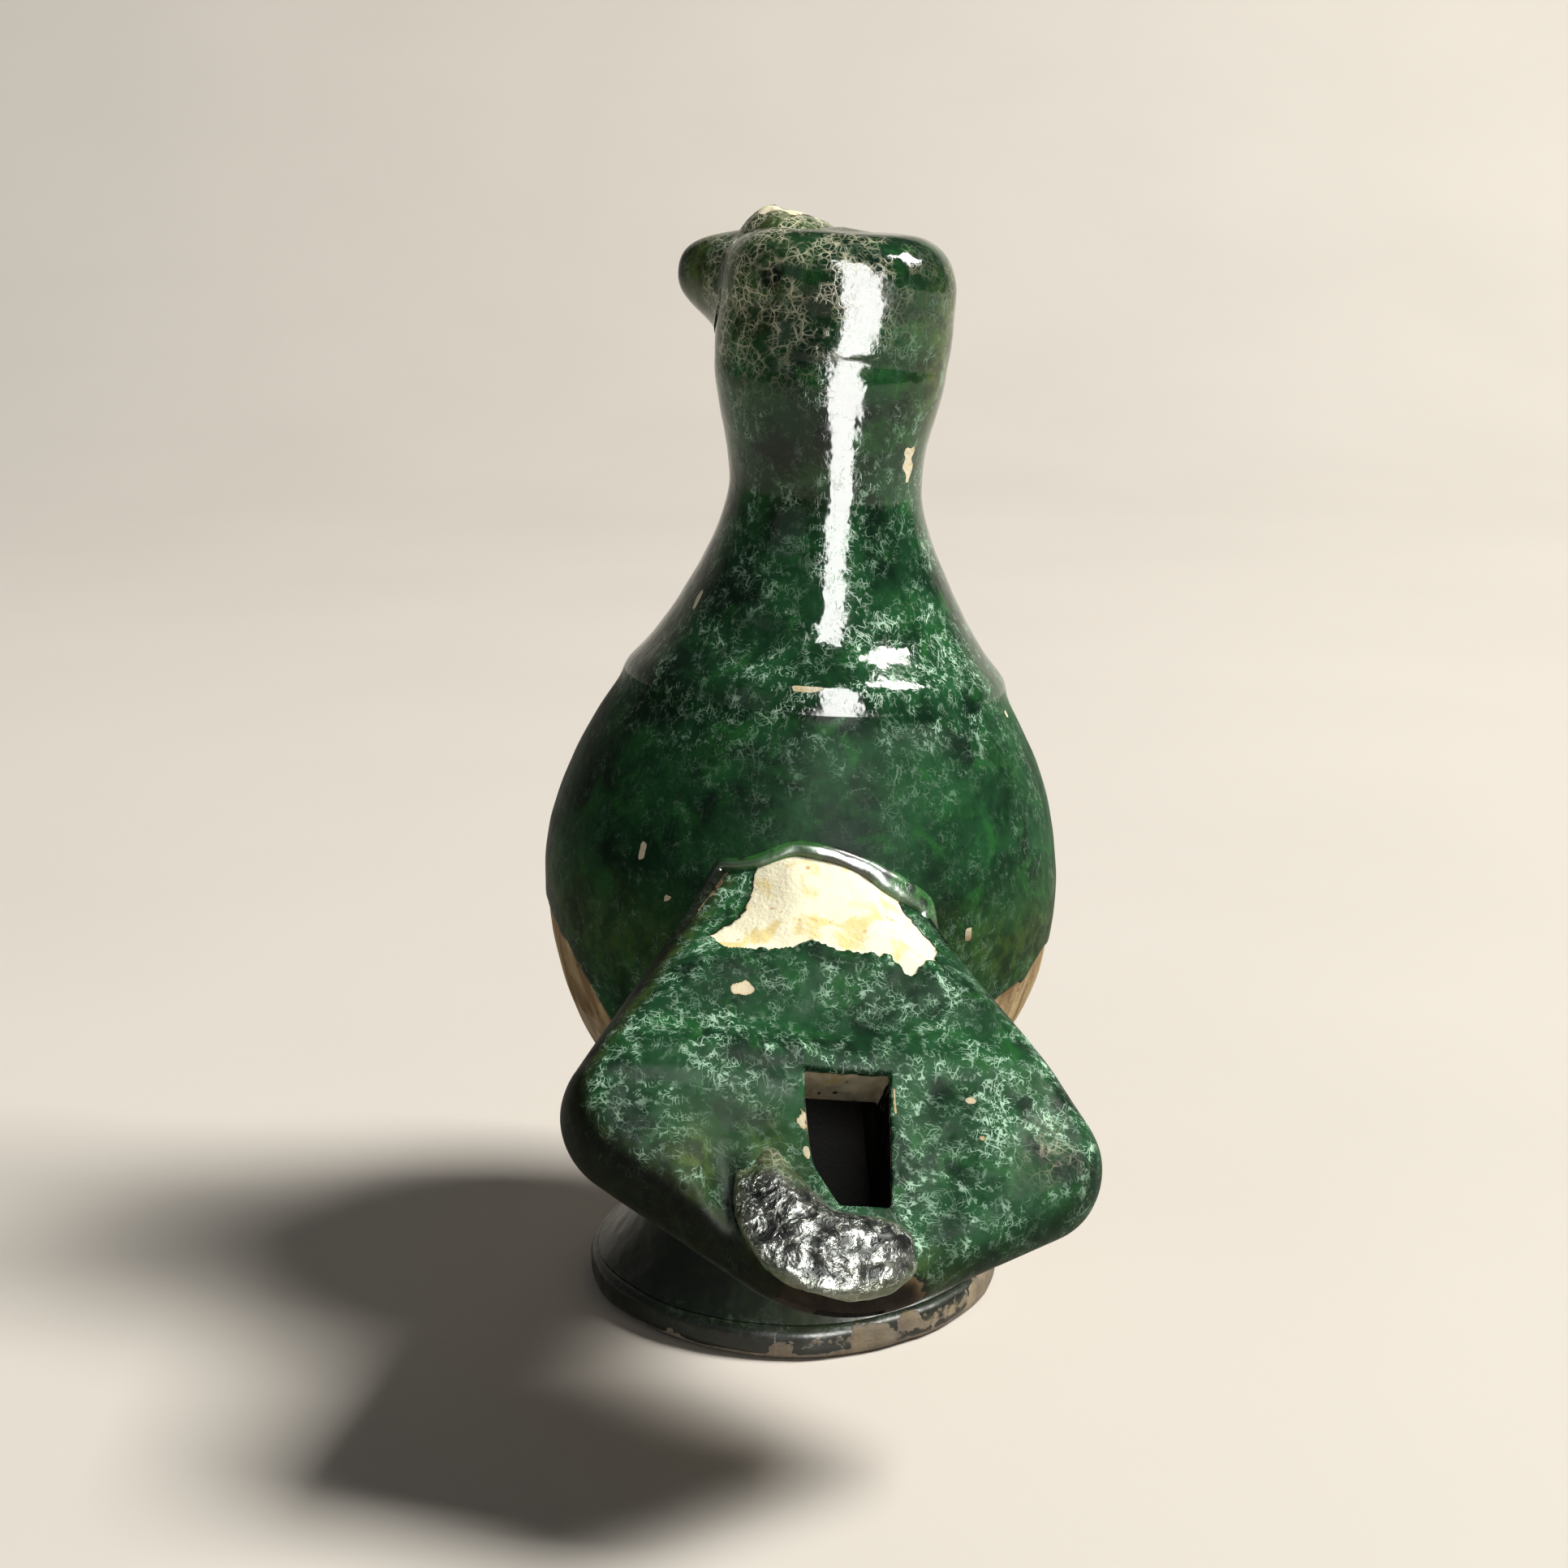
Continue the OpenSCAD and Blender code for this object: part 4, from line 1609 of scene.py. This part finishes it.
    def underside(self, x: Array, y: Array) -> Array:
        """Height of the tail's underside: the parting less a depth that grows from the lobes to the root.

        Args:
            x: places across the tail.
            y: places along the tail.

        Returns:
            The heights in the tail's frame.
        """
        inset = np.clip(self.inset(np.stack([x, y], -1)), 0, None)
        root = ease(-3, 19, y)
        q = np.clip(inset / self.keel_w, 0, 1)
        power = 1.65 + 0.35 * root
        edge = (1 - (1 - q) ** power) ** (1 / power)
        depth = (self.thick - self.roof_t) * (1 - root) + (self.root_depth - self.roof_t) * root
        p = np.stack([x, y, 0 * x], -1)
        return -self.roof_t - depth * edge + edge * (0.3 * LUMPS.at(p, 6) + 0.12 * LUMPS.at(p, 2.6))

    def paint(self, p: Array, bare: Array | float = 0.0, under: bool = False) -> Paint:
        """The tail's coat at points of its own frame.

        Args:
            p: points of the tail's frame.
            bare: share by which the coat is missing, as on cut walls.
            under: whether this is the lower slab.

        Returns:
            The coat: threads along the ridge and on the lobes, partly a painted highlight there; olive
                patches beside the
            bridge; painted shade in the hollow beside the bridge, on the left, along the rim and underneath;
            and a fresh flake.
        """
        x, y, z = p[:, 0], p[:, 1], p[:, 2]
        inset = self.inset(p[:, :2])
        rim, edge_band = ease(1.8, 0.6, inset), bump(inset - 2.6, 0.8)
        # The bump along the ridge and the band by the edge are pale threads and partly a painted highlight as
        # well.
        threads = 0.75 + 0.8 * bump(y - 1.0, 1.6) + 0.25 * edge_band - 0.3 * rim + summed(TAIL_THREADS_AND_SHEEN, x, y)
        olive = 0.75 * ease(2.4, 0.8, inset) * ease(6, -10, x) + 0.6 * ease(-14.5, -18.5, y)
        olive += summed(TAIL_OLIVE, x, y)
        # Painted shade: darker on the left, along the rim where it turns away from the light, and in the
        # spots above.
        dark = 0.25 * ease(-8, -14, x) * ease(0, -3, y) + 0.75 * ease(2.2, 0.3, inset) * ease(4, -14, x)
        dark += 0.35 * ease(1.6, 0.2, inset) + summed(TAIL_PAINTED_SHADE, x, y)
        flake = self.chip(x, y) * ease(-3.6, -2.6, z) if not under else 0 * x
        glaze = 1 - flake
        for chip in TAIL_CHIPS:
            away = chip.away(x, y) + 0.4 * RAGGED.at(p, 0.6)
            glaze = np.minimum(glaze, ease(0.7, 1.2, away))
        tip = ease(-16.6, -18.6, y + 0.5 * RAGGED.at(p, 2)) * ease(8, 4, np.abs(x - 0.5))
        glaze = np.minimum(glaze, 1 - 0.8 * tip)
        if under:
            glaze = np.minimum(glaze, 0.85 + 0.5 * RAGGED.at(p, 5) - 0.5 * ease(-8, -13, z))
            # The underside is painted darker as shade, with fewer threads.
            threads, dark = 0.5 * threads, np.clip(0.3 + dark, 0, 1)
        net = Spot(0.5, 16.8, -7.0, 2.4, 2.4).on(x, y)
        satin = 0.85 + 0.2 * ease(2.4, 0.8, inset) - Spot(0.35, 15.5, -5, 4, 4).on(x, y)
        fresh = np.clip(flake + 0.5 * (1 - glaze) - tip, 0, 1) * (1 - bare) * (not under)
        return Paint.even(x.shape, glaze=glaze * (1 - bare), threads=np.clip(threads, 0, 1.4),
                          olive=np.clip(olive, 0, 0.9), dark=np.clip(dark + 0.6 * tip, 0, 0.92), net=net,
                          fresh=fresh, satin=np.clip(satin, 0, 1))

    def roof(self) -> bpy.types.Object:
        """The upper slab with its window.

        Rings run from the window's edge over the top and the rim to the parting, back under it, and up the
        window's wall.

        Returns:
            The finished piece.
        """
        phi = np.linspace(0, TAU, self.cols, endpoint=False)
        ray = np.stack([np.cos(phi), np.sin(phi)], -1)
        near, far = self.window_reach(phi), self.edge_reach(phi)
        t = np.concatenate([np.linspace(0, 0.8, 72)[:-1], 1 - 0.2 * np.linspace(1, 0, 38) ** 1.9])[:, None]
        reach = near + (far - near) * t
        xy = self.pole() + reach[..., None] * ray
        z = self.top(xy[..., 0], xy[..., 1])
        z[-1] = -self.roof_t
        from_window = (far - near) * t
        z = z - 0.28 * (1 - np.sqrt(np.clip(1 - (1 - np.clip(from_window / 0.35, 0, 1)) ** 2, 0, 1)))
        over = np.concatenate([xy, z[..., None]], -1)
        s = np.linspace(1, 0, 12)[1:, None]
        xy_under = self.pole() + (near + (far - near) * s)[..., None] * ray
        under = np.concatenate([xy_under, np.full(xy_under.shape[:2] + (1,), -self.roof_t)], -1)
        up = np.linspace(0, 1, 16)[1:-1, None]
        z_wall = -self.roof_t + (z[0] + self.roof_t) * up
        xy_wall = self.pole() + (near + 0 * up)[..., None] * ray
        wall = np.concatenate([xy_wall, z_wall[..., None]], -1)
        crumbs = 0.16 * PEEL.at(wall, 0.9, 2) + 0.1 * LUMPS.at(wall, 2.2)
        wall[..., :2] += crumbs[..., None] * np.clip(np.sin(math.pi * up) * 2, 0, 1)[..., None] * ray
        piece = surface("tail_upper_slab", self.to_world(np.concatenate([over, under, wall])), True)
        p = self.to_tail(places(piece.data))
        off = np.hypot(*(p[:, :2] - self.pole()).T)
        angle = np.arctan2(*(p[:, :2] - self.pole()).T[::-1])
        at_wall = ease(0.3, 0.06, off - self.window_reach(angle)) * ease(0.1, 0.5, -p[:, 2])
        below = (p[:, 2] < -self.roof_t + 0.01) & (self.inset(p[:, :2]) > 0.3)
        bare = np.maximum(at_wall, below)
        paint = self.paint(p, bare)
        # Painted shade: the window's walls are painted black, all but the far wall, which the light reaches.
        far_wall = p[:, 1] > self.window[1] - 0.3
        paint.dark = np.where(at_wall > 0.5, np.where(far_wall, 0.0, 1.0), paint.dark)
        paint.fresh = np.where((at_wall > 0.5) & far_wall, 0.45, paint.fresh)
        finish_piece(piece, paint, Slot.GREEN, "tail_roof", 62, TAIL_GREEN)
        return piece

    def block(self, name: str, low: tuple, high: tuple) -> bpy.types.Object:
        """A plain block in the tail's frame, used only as a cutter.

        Args:
            name: its name.
            low: its lowest corner.
            high: its highest corner.

        Returns:
            The block.
        """
        corners = np.array([[(low, high)[k][0], (low, high)[j][1], (low, high)[i][2]]
                            for i in (0, 1) for j in (0, 1) for k in (0, 1)], float)
        quads = np.array([[0, 2, 3, 1], [4, 5, 7, 6], [0, 1, 5, 4], [2, 6, 7, 3], [0, 4, 6, 2], [1, 3, 7, 5]])
        return linked(name, make_mesh(name, self.to_world(corners), quads, np.zeros((0, 3), int)))

    def passage(self) -> bpy.types.Object:
        """The cutter for the passage from the window under the roof into the belly.

        Returns:
            The cutter.
        """
        x, y = self.window
        half = self.window_w / 2
        return self.block("passage", (x - half, y - self.window_l, -self.roof_t - self.passage_h),
                          (x + half, self.root_y + 14, -self.roof_t + 0.6))

    def windway(self) -> bpy.types.Object:
        """The cutter for the windway from the tip's slot to the window.

        Returns:
            The cutter.
        """
        x, y = self.window
        half = self.window_w / 2 - self.taper
        return self.block("windway", (x - half, -self.tip_l - 3, -self.roof_t - self.windway_h),
                          (x + half, y - self.window_l + 1, -self.roof_t + 0.6))

    def floor(self) -> bpy.types.Object:
        """The lower slab: a flat parting, a boat-shaped underside, and the windway and passage cut in.

        Returns:
            The finished piece.
        """
        phi = np.linspace(0, TAU, 480, endpoint=False)
        ray = np.stack([np.cos(phi), np.sin(phi)], -1)
        far = self.edge_reach(phi)
        s = np.linspace(0, 1, 8)[:, None]
        t = np.concatenate([1 - 0.45 * np.linspace(0, 1, 46) ** 1.9, np.linspace(0.55, 0, 40)[1:]])[1:, None]
        flat_xy = self.pole() + (far * s)[..., None] * ray
        flat = np.concatenate([flat_xy, np.full(flat_xy.shape[:2] + (1,), -self.roof_t)], -1)
        low_xy = self.pole() + (far * t)[..., None] * ray
        low = np.concatenate([low_xy, self.underside(low_xy[..., 0], low_xy[..., 1])[..., None]], -1)
        piece = surface("tail_lower_slab", self.to_world(np.concatenate([flat, low])), False)
        carve(piece, [self.passage(), self.windway()])
        p = self.to_tail(places(piece.data))
        inside = (self.inset(p[:, :2]) > 0.4) & (p[:, 2] > self.underside(p[:, 0], p[:, 1]) + 0.4)
        paint = self.paint(p, inside * 1.0, under=True)
        # Painted shade: the cut passage and windway inside the slab are painted black.
        paint.dark = np.where(inside, 1.0, paint.dark)
        paint.fresh = np.where(inside, 0.0, paint.fresh)
        # The lower slab takes the darker green of painted shade.
        finish_piece(piece, paint, Slot.THIN, "tail_floor", finish=UNDERSIDE_SHADE_GREEN)
        return piece

    def bridge(self) -> bpy.types.Object:
        """The roll of clay over the windway: a round section along a curve round the window's lower corner.

        The curve is a quartic fitted to the knots. The radius swells in the middle and closes at both ends,
        and below the roof's level the section spreads outwards into a fillet.

        Returns:
            The finished piece.
        """
        knots = np.array(BRIDGE_KNOTS)
        u = np.linspace(0, 1, 130)
        spread = np.linspace(0, 1, len(knots))
        fit = [np.polyfit(spread, knots[:, k], 4) for k in range(2)]
        line = np.stack([np.polyval(f, u) for f in fit], -1)
        way = np.stack([np.polyval(np.polyder(f), u) for f in fit], -1)
        way /= np.linalg.norm(way, axis=1)[:, None]
        side = np.stack([way[:, 1], -way[:, 0]], -1)
        ends = np.sqrt(np.clip(1 - np.abs(2 * u - 1) ** 5, 0, 1))
        r = ((1.5 + 1.15 * np.sin(math.pi * u) ** 1.1 + 0.5 * (u - 0.3)) * ends)[:, None]
        alpha = np.linspace(-math.pi, math.pi, 120, endpoint=False)[None, :]
        turned = np.abs(alpha)
        flare = np.where(alpha > 0, 1.1, 0.3) * ease(0.9, 1.5, turned) * ease(3.1, 1.9, turned)
        flare = flare * ends[:, None]
        across = np.sign(alpha) * (r * np.abs(np.sin(alpha)) + flare)
        xy = line[:, None, :] + across[..., None] * side[:, None, :]
        z = -1.0 + r * np.cos(alpha) * np.where(np.cos(alpha) > 0, 1.0, 0.9)
        z = z + 0.3 * np.sin(math.pi * u)[:, None]
        grid = np.concatenate([xy, z[..., None]], -1)
        outward = xyz(np.sin(alpha) * side[:, 0:1], np.sin(alpha) * side[:, 1:2], np.cos(alpha))
        rough = 0.26 * LUMPS.at(grid, 2.9) + 0.13 * LUMPS.at(grid, 1.3) + 0.06 * PEEL.at(grid, 0.6)
        grid = grid + (rough * ends[:, None])[..., None] * outward
        piece = surface("windway_roll", self.to_world(grid), False)
        p = self.to_tail(places(piece.data))
        x, y = p[:, 0], p[:, 1]
        metal = ease(-12.6, -14.0, y + 0.35 * x + 0.6 * LUMPS.at(p, 1.6)) * ease(-0.9, 0.4, p[:, 2])
        # Painted shade: the bevel where the roll dips into the window is darkened and loses its metal sheen.
        inner = bump(np.hypot((x + 1.6) / 1.8, (y + 11) / 2.2), 1)
        paint = Paint.even(x.shape, glaze=1.0, threads=0.45, metal=metal * (1 - 0.75 * inner),
                           olive=0.35 * ease(-12, -9, y), dark=np.clip(0.1 + 0.5 * inner, 0, 1),
                           net=0.3, satin=0.3)
        finish_piece(piece, paint, Slot.METALLIC, "windway_bridge")
        return piece

    def root_line(self, beta: Array) -> tuple[Array, Array]:
        """Where the tail leaves the belly: the tail's edge along each direction, found by halving.

        Args:
            beta: angles about the tail's root as seen on the belly.

        Returns:
            The points of the line and the belly's outward directions there.
        """
        b = self.body
        low, high = np.full(beta.shape, 2.0), np.full(beta.shape, 24.0)

        def on_belly(away: Array) -> tuple[Array, Array, Array]:
            """The belly's points at a distance from the root's middle, with their heights and angles."""
            h = 41.5 + away * np.sin(beta)
            theta = -math.pi / 2 + away * np.cos(beta) / b.belly_r
            return b.skin(h, theta), h, theta

        for _ in range(22):
            mid = (low + high) / 2
            q = self.to_tail(on_belly(mid)[0])
            under_top = self.top(q[:, 0], q[:, 1], False) - q[:, 2]
            inside = np.minimum(under_top, q[:, 2] - self.underside(q[:, 0], q[:, 1]))
            low, high = np.where(inside > 0, mid, low), np.where(inside > 0, high, mid)
        points, h, theta = on_belly((low + high) / 2)
        out = points - b.point(h, theta, b.radius(h) - 5)
        return points, out / np.linalg.norm(out, axis=1)[:, None]

    def root_coil(self) -> bpy.types.Object:
        """The smoothed coil round the tail's root: a bead of varying thickness carried round its line.

        Returns:
            The finished piece.
        """
        beta = np.linspace(0, TAU, 420, endpoint=False)
        line, out = self.root_line(beta)
        way = np.roll(line, -1, 0) - np.roll(line, 1, 0)
        way /= np.linalg.norm(way, axis=1)[:, None]
        side = np.cross(way, out)
        turn = angles(28)
        thick = 0.62 + 0.22 * LUMPS.at(line, 5) + 0.3 * bump(beta - 0.45, 0.4) - 0.3 * bump(beta - 2.5, 0.5)
        r = np.clip(thick, 0.25, 1.1)[:, None]
        ring = line[:, None, :] + (r * self.bead_spread * np.cos(turn))[..., None] * side[:, None, :]
        ring = ring + (r * np.sin(turn) - 0.15)[..., None] * out[:, None, :]
        ring = ring + 0.12 * LUMPS.at(ring, 1.8)[..., None] * out[:, None, :]
        piece = surface("root_bead", ring, True)
        p = places(piece.data)
        q = self.to_tail(p)
        crumbs = 0.8 * ease(0.3, 0.5, RAGGED.at(p, 1.2)) * (q[:, 2] > -3.5)
        # The threads on the bead's right side are also a painted highlight; its left side is painted dark as
        # the shadow in the crease under the belly's glaze.
        paint = Paint.even(len(p), glaze=1.0, threads=0.2 + 0.8 * ease(5, 8, q[:, 0]), olive=0.1, satin=0.4,
                           fresh=0.9, dark=np.maximum(0.8 * ease(-4, -9, q[:, 0]), crumbs))
        finish_piece(piece, paint, Slot.POOLED, "tail_root_coil")
        return piece


# ---------------------------------------------------------------- stage, light and camera


@dataclass(frozen=True)
class Lamp:
    """One soft rectangular lamp, in metres and watts. A lamp for the gloss leaves the plain light alone."""

    name: str
    place: tuple[float, float, float]
    aim: tuple[float, float, float]
    size: tuple[float, float]
    power: float
    tint: tuple[float, float, float]
    gloss_only: bool = False


LAMPS = (
    Lamp("key", (1.20, -0.24, 1.50), (0, -0.01, 0.04), (0.60, 0.60), 58.0, (1.0, 0.97, 0.92)),
    Lamp("fill", (-0.5, -0.5, 0.35), (0, 0, 0.04), (0.5, 0.4), 0.2, (0.9, 0.95, 1.0)),
    Lamp("softbox", (0.062, -0.25, 0.19), (0, 0, 0.19), (0.12, 0.38), 5.0, (1.0, 0.99, 0.97), True),
)


@dataclass
class Studio:
    """A pale sweep, soft lights and the camera, in metres."""

    camera_height: float = 0.1057
    camera_back: float = 0.2206
    camera_turn: float = math.radians(-4.0)
    camera_side: float = -0.0009
    camera_dip: float = math.radians(14.4)
    lens: float = 55.9
    sensor: float = 36.0
    half_width: float = 3.2
    near_edge: float = -2.4
    far_edge: float = 1.6
    rise_from: float = 0.55
    rise_over: float = 0.9
    sky_tint: tuple = (0.8, 0.85, 0.9, 1)
    sky_strength: float = 0.06

    def sweep(self) -> None:
        """The floor: a flat sheet that curves up far behind the whistle, z = 0.9 t^2."""
        rows, cols = 90, 60
        u = np.linspace(-1, 1, cols)[None, :]
        v = np.linspace(self.near_edge, self.far_edge, rows)[:, None]
        t = np.clip((v - self.rise_from) / self.rise_over, 0, None)
        verts = xyz(self.half_width * u, v, 0.9 * t**2).reshape(-1, 3)
        r, c = np.arange(rows - 1)[:, None], np.arange(cols - 1)[None, :]
        first = r * cols + c
        quads = np.stack([first, first + 1, first + cols + 1, first + cols], -1).reshape(-1, 4)
        mesh = bpy.data.meshes.new("sweep")
        mesh.from_pydata(verts.tolist(), [], quads.tolist())
        mesh.shade_smooth()
        piece = linked("sweep", mesh)
        r = Recipe("pale_sweep")
        r.put(r.mix(r.noise(90, 3), *FLOOR_TONES), r.shader.inputs["Base Color"])
        r.shader.inputs["Roughness"].default_value = 1.0
        r.shader.inputs["Specular IOR Level"].default_value = 0.0
        mesh.materials.append(r.material)

    def light(self, lamp: Lamp) -> None:
        """Hangs one lamp at its place and turns it to its aim.

        Args:
            lamp: the lamp.
        """
        data = bpy.data.lights.new(lamp.name, "AREA")
        data.shape = "RECTANGLE"
        data.size, data.size_y = lamp.size
        data.energy = lamp.power
        data.color = lamp.tint
        holder = linked(lamp.name, data)
        holder.location = lamp.place
        way = Vector(lamp.aim) - Vector(lamp.place)
        holder.rotation_euler = way.to_track_quat("-Z", "Y").to_euler()
        holder.visible_diffuse = not lamp.gloss_only

    def lights(self) -> None:
        """A key high on the right, a weak fill and sky, and a tall softbox that only the gloss shows."""
        for lamp in LAMPS:
            self.light(lamp)
        world = bpy.data.worlds.new("soft_sky")
        world.use_nodes = True
        sky = world.node_tree.nodes["Background"]
        sky.inputs["Color"].default_value = self.sky_tint
        sky.inputs["Strength"].default_value = self.sky_strength
        bpy.context.scene.world = world
        bpy.context.scene.view_settings.view_transform = "Standard"

    def camera(self) -> None:
        """The camera behind the bird, a little above its head, looking slightly down."""
        data = bpy.data.cameras.new("camera")
        data.lens = self.lens
        data.sensor_width = self.sensor
        data.clip_start = 0.01
        holder = linked("camera", data)
        right = (math.cos(self.camera_turn), math.sin(self.camera_turn))
        back = (math.sin(self.camera_turn), -math.cos(self.camera_turn))
        holder.location = (back[0] * self.camera_back + right[0] * self.camera_side,
                           back[1] * self.camera_back + right[1] * self.camera_side, self.camera_height)
        holder.rotation_euler = (math.pi / 2 - self.camera_dip, 0, self.camera_turn)
        bpy.context.scene.camera = holder

    def build(self) -> None:
        """Sets the stage."""
        self.sweep()
        self.lights()
        self.camera()
        log.info("stage: sweep, 3 lights, camera")


def main() -> None:
    """Builds the whistle from the foot up, then the tail, then the stage."""
    logging.basicConfig(level=logging.INFO, format="%(name)s: %(message)s")
    body = Body()
    tail = Tail(body)
    bands = Bands(body)
    bands.foot()
    bands.waist()
    bands.bowl()
    bands.dome(tail.passage())
    bands.neck()
    head = Head(body)
    head.build()
    head.beak()
    head.crest()
    tail.roof()
    tail.floor()
    tail.bridge()
    tail.root_coil()
    Studio().build()


if __name__ == "__main__":
    main()
